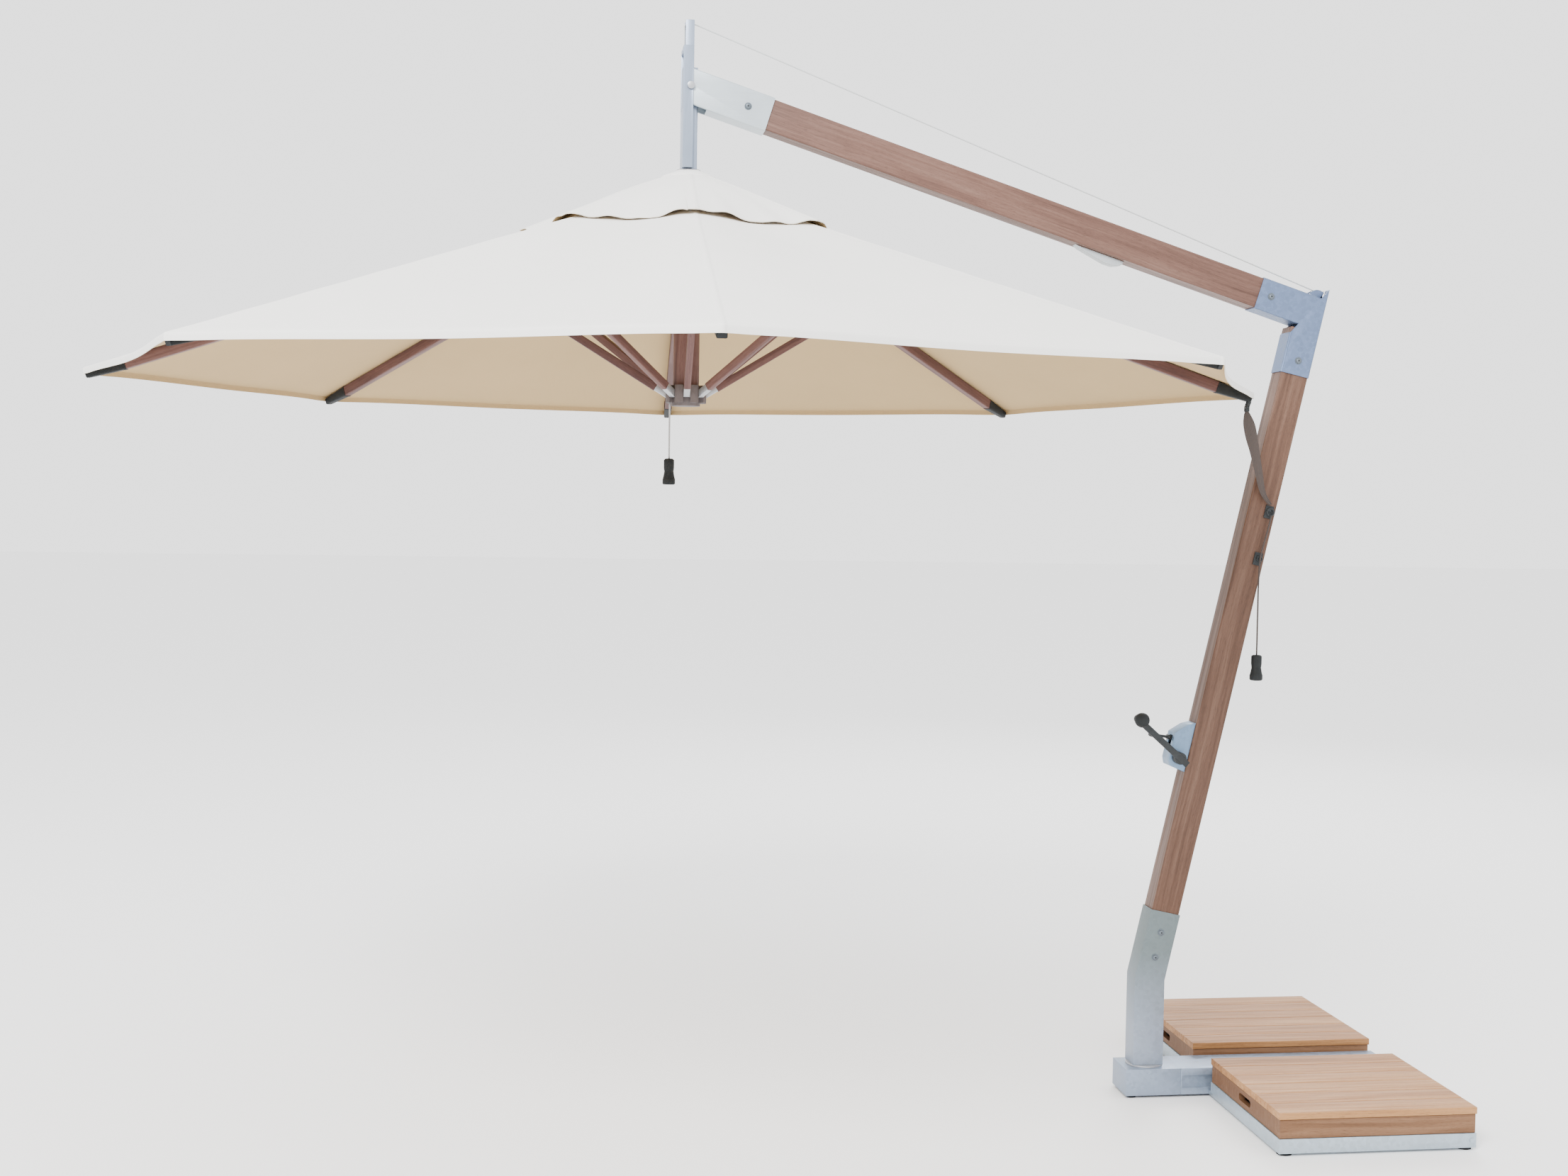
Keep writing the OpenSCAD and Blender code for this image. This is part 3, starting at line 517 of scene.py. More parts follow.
def board_tree(timber):
    """Boards side by side along Y, each with its own grain and tone."""
    tree, given = geometry_tree(timber.name + "_boards", Length=0.6, Board_Width=0.09, Thickness=0.02,
                                Count=6, Gap=0.0012, Seed=3)
    step = add(tree, "ShaderNodeCombineXYZ", Y=maths(tree, "ADD", given["Board Width"], given["Gap"]))
    row = add(tree, "GeometryNodeMeshLine", Count=given["Count"], Offset=step.outputs[0])
    board = eased_bar(tree, given["Length"], given["Board Width"], given["Thickness"], BOARD_EDGE)
    laid = add(tree, "GeometryNodeInstanceOnPoints", Points=row.outputs[0], Instance=board).outputs[0]
    tone = add(tree, "FunctionNodeRandomValue", {"data_type": "FLOAT"}, Seed=given["Seed"])
    toned = stored(tree, laid, "board", first_output(tone), "INSTANCE")
    real = add(tree, "GeometryNodeRealizeInstances", Geometry=toned).outputs[0]
    apart = scaled(tree, (7.0, 3.0, 5.0), read_back(tree, "board", "FLOAT"))
    shifted = vectors(tree, "ADD", read_back(tree, "grain", "FLOAT_VECTOR"), apart)
    return give(tree, coated(tree, stored(tree, real, "grain", shifted), timber))


def place_piece(piece, matrix):
    """Puts a piece in its place by its points, so that its object stays at the origin."""
    piece.data.transform(matrix)
    if matrix.determinant() < 0:
        piece.data.flip_normals()
    return piece


def merge(name, pieces):
    """Several pieces as one mesh."""
    for piece in bpy.context.selected_objects:
        piece.select_set(False)
    for piece in pieces:
        piece.select_set(True)
    bpy.context.view_layer.objects.active = pieces[0]
    bpy.ops.object.join()
    pieces[0].name = name
    pieces[0].data.name = name
    return pieces[0]


boards = board_tree(cover_timber)
side_boards = board_tree(side_timber)
COVER_BOARDS = 6
BOARD_GAP = 0.0014
TOP_BOARD = 0.020
SIDE_BOARD = 0.018
COVER_INSET, TOP_GAP = 0.003, 0.0004
SLOT_SIDE, SLOT_HALF, SLOT_LOW, SLOT_HIGH = 2, 0.045, 0.0165, 0.0385


def cut_slot(piece, low, high):
    """Cuts a hand slot with round ends through a side board between two corners."""
    cutter = new_piece("slot_cutter", [], [])
    made = bmesh.new()
    radius = (high.z - low.z) / 2
    outline = []
    for n in range(24):
        a = 2 * math.pi * n / 24
        shift = (high.y - low.y) / 2 - radius
        y = (low.y + high.y) / 2 + radius * math.cos(a) + math.copysign(shift, math.cos(a))
        outline.append((y, (low.z + high.z) / 2 + radius * math.sin(a)))
    near = [made.verts.new((low.x, y, z)) for y, z in outline]
    far = [made.verts.new((high.x, y, z)) for y, z in outline]
    made.faces.new(near)
    made.faces.new(list(reversed(far)))
    for n in range(24):
        made.faces.new((near[n], far[n], far[(n + 1) % 24], near[(n + 1) % 24]))
    bmesh.ops.recalc_face_normals(made, faces=made.faces)
    made.to_mesh(cutter.data)
    made.free()
    cut = piece.modifiers.new("slot", "BOOLEAN")
    cut.object = cutter
    cut.operation = "DIFFERENCE"
    cut.solver = "EXACT"
    bake_modifiers(piece)
    bpy.data.objects.remove(cutter)


for side in ("near", "far"):
    low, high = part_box("cover_" + side)
    length = high.x - low.x
    width = high.y - low.y
    board_width = (width - (COVER_BOARDS - 1) * BOARD_GAP) / COVER_BOARDS
    top = grown("cover_top_" + side, boards, Length=length, Board_Width=board_width, Thickness=TOP_BOARD,
                Count=COVER_BOARDS, Gap=BOARD_GAP, Seed=3 if side == "near" else 8)
    place_piece(top, Matrix.Translation((low.x, low.y + board_width / 2, high.z - TOP_BOARD / 2)))
    side_height = high.z - TOP_BOARD - low.z - TOP_GAP
    long_side = length - 2 * COVER_INSET
    short_side = width - 2 * (COVER_INSET + SIDE_BOARD)
    near_x, far_x = low.x + COVER_INSET, high.x - COVER_INSET - SIDE_BOARD / 2
    near_y, far_y = low.y + COVER_INSET, high.y - COVER_INSET - SIDE_BOARD / 2
    sides = []
    for n, (x, y, run, turn) in enumerate((
            (near_x, near_y + SIDE_BOARD / 2, long_side, 0), (near_x, far_y, long_side, 0),
            (near_x + SIDE_BOARD / 2, near_y + SIDE_BOARD, short_side, 90),
            (far_x, near_y + SIDE_BOARD, short_side, 90))):
        board = grown("cover_side", side_boards, Length=run, Board_Width=SIDE_BOARD, Thickness=side_height,
                      Count=1, Gap=0.0, Seed=20 + n)
        place_piece(board, Matrix.Translation((x, y, low.z + side_height / 2))
                    @ Matrix.Rotation(math.radians(turn), 4, "Z"))
        if n == SLOT_SIDE:
            middle = (low.y + high.y) / 2
            cut_slot(board, Vector((low.x - 0.01, middle - SLOT_HALF, low.z + SLOT_LOW)),
                     Vector((low.x + 0.04, middle + SLOT_HALF, low.z + SLOT_HIGH)))
        sides.append(board)
    cover = merge("timber_cover_" + side, [top] + sides)
    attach(cover, "cover_" + side)
    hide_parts("cover_" + side)


# ---------------------------------------------------------------------------------------------
# Mast and boom. Oiled reddish-brown hardwood, straight-grained, 90 x 75 mm and 95 x 75 mm. The
# mast stands in a galvanised socket that is mitred where it starts to lean.
MAST_LEAN = math.radians(12.6)
BOOM_FALL = math.radians(17.35)
MAST_LENGTH = 2.151
BOOM_LENGTH = 2.041
BEND = Vector((0, 0, 0.370))
on_mast = Matrix.Translation(BEND) @ Matrix.Rotation(MAST_LEAN, 4, "Y")
ELBOW = on_mast @ Vector((0, 0, MAST_LENGTH))
on_boom = Matrix.Translation(ELBOW) @ Matrix.Rotation(BOOM_FALL, 4, "Y")
mast_timber = oiled_timber("mast_timber", (0.050, 0.025, 0.016), (0.108, 0.056, 0.037),
                           (0.172, 0.099, 0.068), (0, math.radians(90) - MAST_LEAN, 0), gloss=0.42)
boom_timber = oiled_timber("boom_timber", (0.062, 0.030, 0.022), (0.128, 0.066, 0.049),
                           (0.200, 0.118, 0.090), (0, -BOOM_FALL, 0), gloss=0.42)
paint(softened("mast_pole", "mast", 0.0006), mast_timber)
paint(softened("boom_pole", "boom", 0.0006), boom_timber)
socket_zinc = galvanised_steel("socket_zinc", (0.135, 0.170, 0.178), 0.48, foot=(0.27, 0.315, 0.39),
                               turn_at=(0.20, 0.46))
paint(softened("mast_socket", "socket", 0.004, 4), socket_zinc)


# ---------------------------------------------------------------------------------------------
# Elbow, boom bracket and bolts. The elbow is a blue-grey mitred sleeve, the bracket a pale
# pressed sleeve with two cheeks. Button-head bolts with washers hold the timber in both.
elbow_zinc = galvanised_steel("elbow_zinc", (0.125, 0.175, 0.29), 0.42)
bracket_metal = satin_metal("bracket_aluminium", (0.52, 0.58, 0.62), 0.38, (1, 0, 0))
paint(softened("elbow_bracket", "elbow", 0.0025, 3), elbow_zinc)
paint(softened("boom_bracket", "bracket", 0.0025, 3), bracket_metal)
paint(softened("boom_cleat", "cleat", 0.003, 3), satin_metal("cleat_metal", (0.50, 0.53, 0.55), 0.45))
paint(softened("tilt_pin", "tilt_hinge_pin", 0.001), stainless)
paint(softened("elbow_sheave", "elbow_pulley", 0.0006), dark_plastic)
paint(softened("head_sheave", "head_pulley", 0.0006), dark_plastic)


def bolt_tree():
    """Button heads with a hex recess on washers, one at each point, facing along its stored normal. The recess is
    a thin dark hexagon on the head, painted shade for the hole.
    """
    tree, given = geometry_tree("button_bolts", Head_Radius=0.0085, Head_Height=0.005,
                                Washer_Radius=0.011, Washer_Height=0.0015)
    wide, high, thick = (given[name] for name in ("Head Radius", "Head Height", "Washer Height"))

    def raised(geometry, height):
        return moved(tree, geometry, add(tree, "ShaderNodeCombineXYZ", Z=height).outputs[0])

    washer = add(tree, "GeometryNodeMeshCylinder", Vertices=28, Radius=given["Washer Radius"], Depth=thick)
    parts = [raised(washer.outputs["Mesh"], maths(tree, "MULTIPLY", thick, 0.5))]
    rings = ((1.0, 0.0), (0.98, 0.45), (0.80, 0.82), (0.52, 1.0))
    for (low_share, low), (top_share, top) in zip(rings, rings[1:]):
        ring = add(tree, "GeometryNodeMeshCone", {"fill_type": "NGON"}, Vertices=24,
                   Radius_Bottom=maths(tree, "MULTIPLY", wide, low_share),
                   Radius_Top=maths(tree, "MULTIPLY", wide, top_share),
                   Depth=maths(tree, "MULTIPLY", high, top - low))
        parts.append(raised(ring.outputs["Mesh"], maths(tree, "MULTIPLY_ADD", high, low, thick)))
    # The hex recess is not cut: a thin dark hexagon stands on the head as painted shade of the hole.
    recess = add(tree, "GeometryNodeMeshCylinder", Vertices=6, Radius=0.003, Depth=0.0004)
    recess = raised(recess.outputs["Mesh"], maths(tree, "ADD", high, thick))
    head = joined(tree, [coated(tree, joined(tree, parts), dull_zinc), coated(tree, recess, dark_coat)])
    turn = add(tree, "FunctionNodeAlignRotationToVector", {"axis": "Z"},
               Vector=read_back(tree, "facing", "FLOAT_VECTOR"))
    laid = add(tree, "GeometryNodeInstanceOnPoints", Points=given["Geometry"], Instance=head,
               Rotation=turn.outputs[0])
    return give(tree, laid.outputs[0])


OUT = {1: Vector((0, 1, 0)), -1: Vector((0, -1, 0))}
SLEEVE_HALF = 0.0405
SOCKET_HALF = 0.040
frame_places = []
for s in (1, -1):
    frame_places += [(on_mast @ Vector((0, s * SOCKET_HALF, z)), OUT[s]) for z in (0.070, 0.150)]
    frame_places.append((on_mast @ Vector((0, s * SLEEVE_HALF, MAST_LENGTH - 0.160)), OUT[s]))
    frame_places += [(on_boom @ Vector((x, s * SLEEVE_HALF, 0)), OUT[s])
                     for x in (-0.135, -BOOM_LENGTH + 0.180)]
frame_bolts = new_piece("frame_button_bolts", [point for point, _ in frame_places], [])
facing = frame_bolts.data.attributes.new("facing", "FLOAT_VECTOR", "POINT")
facing.data.foreach_set("vector", [part for _, outward in frame_places for part in outward])
grow(frame_bolts, bolt_tree())
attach(frame_bolts, "mast")
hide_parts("frame_bolts")


# ---------------------------------------------------------------------------------------------
# Hoist line. A pale 4 mm braided line from the winch drum up inside the mast, round the elbow
# sheave, above the boom to the head of the king post and down to the guide tube. It is taut.
def mapped(tree, name):
    """Places on a map of the piece, in metres along it."""
    return add(tree, "ShaderNodeUVMap", {"uv_map": name}).outputs[0]


def braided(name, colour, pitch):
    """Braid: two sets of four strands that cross on the surface of the cord, coloured darker in the hollows
    between them as painted shade.
    """
    material, tree, shader = new_material(name)
    waves = []
    for lay in (1, -1):
        turns = add(tree, "ShaderNodeVectorMath", {"operation": "DOT_PRODUCT"}, i0=mapped(tree, "along"),
                    i1=(4.0, lay / pitch, 0)).outputs["Value"]
        waves.append(maths(tree, "SINE", maths(tree, "MULTIPLY", turns, 2 * math.pi)))
    height = maths(tree, "MAXIMUM", *waves)
    # The colour follows the strands: painted shade in the hollows between them.
    feed(tree, shader, Roughness=0.85,
         Base_Color=scaled(tree, colour, ranged(tree, height, -0.2, 1.0, 0.72, 1.05)),
         Normal=bumped(tree, height, 0.5, 0.0005))
    return material


line_braid = braided("line_braid", (0.58, 0.60, 0.60), 0.009)
cord_braid = braided("cord_braid", (0.46, 0.47, 0.48), 0.008)
tail_braid = braided("tail_braid", (0.055, 0.042, 0.038), 0.008)
paint(pull_cord, cord_braid)
paint(tilt_cord, tail_braid)

joints = {j["name"]: j for j in frame["joints"]}
post_low, post_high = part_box("king_post")
POST_X = (post_low.x + post_high.x) / 2
elbow_centre = Vector(joints["elbow_sheave_turn"]["pos_m"])
head_centre = Vector(joints["head_sheave_turn"]["pos_m"])
ELBOW_WRAP, HEAD_WRAP = 0.0244, 0.0144
line_fall = math.atan((head_centre.z - elbow_centre.z) / (elbow_centre.x - head_centre.x))


def round_sheave(centre, radius, first, last, steps):
    """Points on a sheave from one angle to another, measured from straight up towards +X."""
    turns = [first + (last - first) * n / steps for n in range(steps + 1)]
    return [centre + radius * Vector((math.sin(a), 0, math.cos(a))) for a in turns]


DRUM_HEIGHT = 0.697
hoist_route = [on_mast @ Vector((x, 0, DRUM_HEIGHT + z)) for x, z in (
    (-0.058, 0.008), (-0.030, 0.010), (0, 0.016),
    *((0.014 + 0.003 * n, 0.060 + 0.215 * n) for n in range(7)))]
hoist_route.append(on_mast @ Vector((0.036, 0, MAST_LENGTH - 0.060)))
hoist_route += round_sheave(elbow_centre, ELBOW_WRAP, math.radians(108), line_fall, 10)
leaves = hoist_route[-1]
arrives = head_centre + HEAD_WRAP * Vector((math.sin(line_fall), 0, math.cos(line_fall)))
RUN_STEPS = 40
hoist_route += [leaves.lerp(arrives, n / RUN_STEPS) for n in range(1, RUN_STEPS + 1)]
hoist_route += round_sheave(head_centre, HEAD_WRAP, 0, -math.pi / 2, 6)
_, tube_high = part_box("guide_tube")
drop_x = head_centre.x - HEAD_WRAP
hoist_route += [Vector((drop_x, 0, 3.160)), Vector((drop_x, 0, tube_high.z + 0.0005))]
hoist_line = paint(tube("hoist_line_braid", hoist_route, 0.002, 12), line_braid)
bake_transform(hoist_line)
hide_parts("hoist_line")


# ---------------------------------------------------------------------------------------------
# Winch. A tapered galvanised case on the canopy side of the mast, with a drum inside, a flat
# steel crank arm in front of it, a black pear-shaped grip and a ratchet lever on its top.
winch_zinc = galvanised_steel("winch_zinc", (0.16, 0.25, 0.37), 0.40)
paint(softened("winch_housing", "winch_case", 0.003, 3), winch_zinc)
paint(softened("winch_drum", "drum_and_shaft", 0.0008), stainless)
paint(softened("winch_crank", "crank_arm", 0.0018, 3), dark_coat)
paint(softened("crank_knob", "crank_grip", 0.0015, 3), dark_plastic)
paint(softened("ratchet_lever", "ratchet_pawl", 0.0012), dark_coat)
paint(softened("strap_ring", "strap_eyes", 0.0006), dark_coat)


# ---------------------------------------------------------------------------------------------
# King post, its head and crown, the runner with its sleeve and guide tube. The post is a pale
# satin extrusion, the hubs are dark mouldings, and the sleeve is turned from the ribs' timber.
post_metal = satin_metal("post_aluminium", (0.29, 0.345, 0.44), 0.38)
paint(softened("king_post", "post", 0.0008), post_metal)
paint(softened("king_head", "post_head", 0.0012), post_metal)
hub_grey = moulded("hub_grey_moulding", (0.105, 0.088, 0.088), 0.52)
paint(softened("crown_hub", "crown", 0.0012), hub_grey)
paint(softened("runner_hub", "runner", 0.002, 3), hub_grey)
paint(softened("guide_tube", "guide", 0.0006), stainless)
rib_tones = ((0.055, 0.027, 0.026), (0.120, 0.060, 0.054), (0.190, 0.105, 0.092))
sleeve_timber = oiled_timber("sleeve_timber", *rib_tones, (0, math.radians(90), 0))
paint(softened("runner_sleeve", "runner_wood", 0.003, 3), sleeve_timber)
paint(softened("pull_handle", "pull_grip", 0.0008), dark_plastic)
paint(softened("tilt_toggle", "toggle_grip", 0.0008), dark_plastic)


# ---------------------------------------------------------------------------------------------
# Ribs and struts. Each rib is an eased timber bar with a steel tongue on the crown pin, a steel
# fork for its strut and a dark moulded cap. Each strut is a slimmer bar with a steel eye.
RIB_FALL = math.radians(18.5)
crown_pin = Vector(joints["rib_1_fold"]["pos_m"])
first_axis = Vector(joints["rib_1_fold"]["axis"])
CROWN_TURN = math.atan2(-first_axis.x, first_axis.y)
CROWN_RADIUS = 0.060
TIP_RADIUS = 1.750
RIB_LENGTH = (TIP_RADIUS - CROWN_RADIUS) / math.cos(RIB_FALL)
RIB_WIDTH, RIB_HEIGHT = 0.026, 0.034
CAP_LENGTH = 0.115
STRUT_AT, STRUT_DROP = 0.620, 0.036
STRUT_WIDTH, STRUT_HEIGHT = 0.020, 0.024
rib_timber = oiled_timber("rib_timber", *rib_tones, gloss=0.48)


def rib_plane(k):
    """From a frame on the floor under the post, with +X below a rib, to its place."""
    return (Matrix.Translation((POST_X, 0, 0))
            @ Matrix.Rotation(CROWN_TURN + math.radians(45) * (k - 1), 4, "Z"))


def on_rib(k):
    """From a rib's own frame, along +X from its crown pin, to its place."""
    return (rib_plane(k) @ Matrix.Translation((CROWN_RADIUS, 0, crown_pin.z))
            @ Matrix.Rotation(RIB_FALL, 4, "Y"))


def bar_part(tree, place, length, width, height, radius):
    """In a tree: an eased bar along +X from its place."""
    return moved(tree, eased_bar(tree, length, width, height, radius), place)


def pin_across(tree, place, radius, width, sides=20):
    """In a tree: a round pin along Y, centred on its place."""
    pin = add(tree, "GeometryNodeMeshCylinder", Vertices=sides, Radius=radius, Depth=width)
    return moved(tree, pin.outputs["Mesh"], place, (math.radians(90), 0, 0))


def timber_bar(tree, given, start, length, radius):
    """In a tree: the timber of a rib or a strut."""
    wood = eased_bar(tree, length, given["Width"], given["Height"], radius)
    wood = stored(tree, wood, "board", given["Board"])
    return coated(tree, moved(tree, wood, (start, 0, 0)), rib_timber)


def rib_tree():
    """A rib along +X from its crown pin: timber, crown tongue, end cap and the fork of its strut."""
    tree, given = geometry_tree("rib", Width=RIB_WIDTH, Height=RIB_HEIGHT, Board=0.5)
    cap_at = RIB_LENGTH - CAP_LENGTH
    wood_at = 0.080
    tongue = [bar_part(tree, (-0.003, 0, 0), 0.100, 0.012, 0.024, 0.001),
              pin_across(tree, (0, 0, 0), 0.012, 0.0118, 24)]
    caps = [bar_part(tree, (start, 0, 0), length, RIB_WIDTH + wider, RIB_HEIGHT + higher, radius)
            for start, length, wider, higher, radius in (
                (cap_at, CAP_LENGTH - 0.004, 0.002, 0.0015, 0.005),
                (RIB_LENGTH - 0.008, 0.008, -0.002, -0.002, 0.006),
                (cap_at - 0.002, 0.008, 0.0035, 0.0025, 0.006))]
    parts = [timber_bar(tree, given, wood_at, cap_at + 0.004 - wood_at, 0.003),
             coated(tree, joined(tree, tongue), stainless), coated(tree, joined(tree, caps), dark_plastic)]
    for s in (1, -1):
        wall, head, screw = (s * (RIB_WIDTH / 2 + out) for out in (0.0016, 0.0045, 0.0038))
        fork = [bar_part(tree, (STRUT_AT - 0.018, wall, 0.006 - STRUT_DROP / 2), 0.036, 0.003,
                         STRUT_DROP + 0.012, 0.001),
                pin_across(tree, (STRUT_AT, wall, -STRUT_DROP), 0.014, 0.003, 28),
                pin_across(tree, (STRUT_AT, head, -STRUT_DROP), 0.0065, 0.003)]
        fork += [pin_across(tree, (STRUT_AT + x, screw, 0.006), 0.0035, 0.002, 12) for x in (-0.010, 0.010)]
        parts.append(coated(tree, joined(tree, fork), stainless))
    return give(tree, joined(tree, parts))


def eye_tree():
    """The eye under the tip of the first rib: two lugs and a pin."""
    tree, _ = geometry_tree("strap_eye")
    inward, below, lug_at = 0.012, 0.023, 0.0106
    back = RIB_LENGTH - inward * math.cos(RIB_FALL) + below * math.sin(RIB_FALL)
    down = -inward * math.sin(RIB_FALL) - below * math.cos(RIB_FALL)
    parts = [pin_across(tree, (back, 0, down), 0.0025, 0.023)]
    for y in (lug_at, -lug_at):
        parts += [bar_part(tree, (back - 0.0045, y, down + 0.009), 0.009, 0.0022, 0.0180, 0.0008),
                  pin_across(tree, (back, y, down), 0.0045, 0.0022)]
    return give(tree, coated(tree, joined(tree, parts), dark_coat))


def strut_tree(length):
    """A strut along -X from its pin on the rib, its foot in the runner."""
    tree, given = geometry_tree("strut", Width=STRUT_WIDTH, Height=STRUT_HEIGHT, Board=0.5)
    wood_at = 0.040
    eyes = [bar_part(tree, (-0.046, 0, 0), 0.046, STRUT_WIDTH - 0.001, 0.018, 0.001),
            bar_part(tree, (-length, 0, 0), 0.044, STRUT_WIDTH - 0.001, 0.020, 0.001)]
    eyes += [pin_across(tree, (x, 0, 0), 0.010, STRUT_WIDTH - 0.0008, 24) for x in (0, -length)]
    return give(tree, joined(tree, [timber_bar(tree, given, wood_at - length, length - 2 * wood_at, 0.0025),
                                    coated(tree, joined(tree, eyes), stainless)]))


def shifted_grain(piece, shift):
    """Gives a bar its own stretch of grain."""
    for point in piece.data.attributes["grain"].data:
        point.vector = Vector(point.vector) + shift
    return piece


ribs = rib_tree()
TIP_TAPER, TIP_WIDTH_SHARE, TIP_HEIGHT_SHARE, TIP_CENTRE = 0.020, 0.86, 0.62, 0.0045
RUNNER_RADIUS, RUNNER_PIN_Z = 0.057, 2.165
joint_radius = CROWN_RADIUS + STRUT_AT * math.cos(RIB_FALL) - STRUT_DROP * math.sin(RIB_FALL)
joint_height = crown_pin.z - STRUT_AT * math.sin(RIB_FALL) - STRUT_DROP * math.cos(RIB_FALL)
strut_length = math.hypot(joint_radius - RUNNER_RADIUS, joint_height - RUNNER_PIN_Z)
strut_rise = math.atan2(joint_height - RUNNER_PIN_Z, joint_radius - RUNNER_RADIUS)
struts = strut_tree(strut_length)
for k in range(1, 9):
    shift = Vector((0.9 * k, 0.31 * k, 0.17 * k))
    rib = shifted_grain(grown(f"rib_bar_{k}", ribs, Board=(k * 0.37) % 1), shift)
    for point in rib.data.vertices:
        if point.co.x > RIB_LENGTH - TIP_TAPER:
            point.co.y *= TIP_WIDTH_SHARE
            point.co.z = TIP_CENTRE + (point.co.z - TIP_CENTRE) * TIP_HEIGHT_SHARE
    if k == 1:
        rib = merge("rib_bar_1", [rib, grown("strap_eye", eye_tree())])
    smooth_by_angle(place_piece(rib, on_rib(k)))
    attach(rib, f"rib_{k}")
    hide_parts(f"rib_{k}")
    strut = shifted_grain(grown(f"strut_bar_{k}", struts, Board=(k * 0.61) % 1), -shift)
    smooth_by_angle(place_piece(strut, rib_plane(k) @ Matrix.Translation((joint_radius, 0, joint_height))
                                @ Matrix.Rotation(-strut_rise, 4, "Y")))
    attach(strut, f"strut_{k}")
    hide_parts(f"strut_{k}")


# ---------------------------------------------------------------------------------------------
# Canopy. One cover of cream acrylic cloth, sewn from eight gores with a felled seam on each rib
# and a hem turned down over the rib tips, stretched tight so that each bay sags a little. Each rib
# carries its seam strip and the half bays beside it, which move with it.
HALF_BAY = math.radians(22.5)
CLOTH_LIFT = RIB_HEIGHT / 2 + 0.0032
CAD_THICKNESS = 0.003
ridge_top = (crown_pin.z + CROWN_RADIUS * math.tan(RIB_FALL)
             + (CLOTH_LIFT + CAD_THICKNESS) / math.cos(RIB_FALL))
CLOTH = 0.0012
SEAM_HALF = 0.0075
HEM_ROUND = 0.004


def woven_cloth(name, colour, soiling):
    """Plain weave: crossing threads, slubs and faint soiling on a matt face."""
    material, tree, shader = new_material(name)
    weave = mapped(tree, "weave")
    threads = [add(tree, "ShaderNodeTexWave", {"wave_type": "BANDS", "bands_direction": along}, Vector=weave,
                   Scale=420.0, Distortion=0.6, Detail=1.0, Detail_Scale=0.4).outputs["Fac"]
               for along in ("X", "Y")]
    slubs = noise(tree, vectors(tree, "MULTIPLY", weave, (6.0, 240.0, 1.0)), 1.0, 3.0)
    clouds = noise(tree, at_place(tree), 2.6, 5.0, Roughness=0.6)
    tone = maths(tree, "MULTIPLY_ADD", slubs, 0.35, clouds)
    height = maths(tree, "MULTIPLY_ADD", slubs, 0.5, maths(tree, "MULTIPLY", *threads))
    feed(tree, shader, Roughness=0.92, Specular_IOR_Level=0.1,
         Base_Color=scaled(tree, colour, ranged(tree, tone, 0.35, 1.0, 1 - soiling, 1.0)),
         Normal=bumped(tree, height, 0.18, 0.0005))
    return material


cloth_top = woven_cloth("cloth_face", (0.83, 0.82, 0.79), 0.045)
# The underside is the same cream cloth, painted a dark tan as the shade under the canopy.
shaded_cloth_under = woven_cloth("cloth_underside", (0.47, 0.335, 0.175), 0.08)
# The cut edges and the rim of the hem are the same cloth, painted a darker cream as shade.
shaded_cloth_edge = woven_cloth("cloth_hem", (0.66, 0.61, 0.52), 0.05)


def panel(name, rows, across, surface, hem_from):
    """A closed piece of cloth, doubled at the seam and from hem_from on. rows are places along the
    rib, from 0 to 1 and then metres of turned hem above 1. across is a list of (kind, value): near is
    a distance from the ridge in metres, and share a part of the way from the edge of the rib to the
    middle of the bay."""
    top, under, weave = [], [], []
    for v in rows:
        lean = min(max(v - 1, 0) / HEM_ROUND, 1)
        out = Vector((lean, 0, 1 - lean)).normalized()
        for kind, value in across:
            p, flat = surface(v, kind, value)
            layers = 1 + (kind == "near" and abs(value) < SEAM_HALF) + (v > hem_from)
            top.append(p + out * CLOTH * layers / 2)
            under.append(p - out * CLOTH * layers / 2)
            weave.append(flat)
    wide = len(across)
    count = len(top)
    faces, materials = [], []
    for row in range(len(rows) - 1):
        for c in range(wide - 1):
            a = row * wide + c
            for each in ((a, a + wide, a + wide + 1), (a, a + wide + 1, a + 1)):
                faces += [each, tuple(count + i for i in reversed(each))]
                materials += [0, 1]
    last = (len(rows) - 1) * wide
    border = (list(range(wide)) + list(range(2 * wide - 1, last + wide, wide))
              + list(range(last + wide - 2, last - 1, -1)) + list(range(last - wide, 0, -wide)))
    for a, b in zip(border, border[1:] + border[:1]):
        faces.append((a, b, b + count, a + count))
        materials.append(2)
    piece = new_piece(name, top + under, faces)
    # The upper faces take the cloth's own colour; the lower faces and the cut edges take colours painted as shade.
    for material in (cloth_top, shaded_cloth_under, shaded_cloth_edge):
        piece.data.materials.append(material)
    piece.data.polygons.foreach_set("material_index", materials)
    uv = piece.data.uv_layers.new(name="weave").data
    for loop in piece.data.loops:
        uv[loop.index].uv = weave[loop.vertex_index % count]
    face_outward(piece)
    return smooth_by_angle(piece, 60)


EDGE_OF_RIB = 0.022


def across_bay(radius, kind, value):
    """Share of the way from the ridge to the middle of the bay, with its sign, and the distance."""
    middle = radius * math.cos(HALF_BAY) * math.sin(HALF_BAY)
    distance = abs(value) if kind == "near" else EDGE_OF_RIB + (middle - EDGE_OF_RIB) * abs(value)
    return math.copysign(distance / middle, value), distance


MAIN_INNER, MAIN_OUTER = 0.340, 1.757
HEM = 0.028
HEM_DIP = 0.036
BAY_SAG = 0.020


def point_on_bay(radius, share, distance, height, out=0.0):
    """A point of a bay, with the radius measured along the ridge."""
    x = radius * (1 - abs(share) * math.sin(HALF_BAY) ** 2) + out
    return Vector((x, math.copysign(distance, share) if share else 0.0, height))


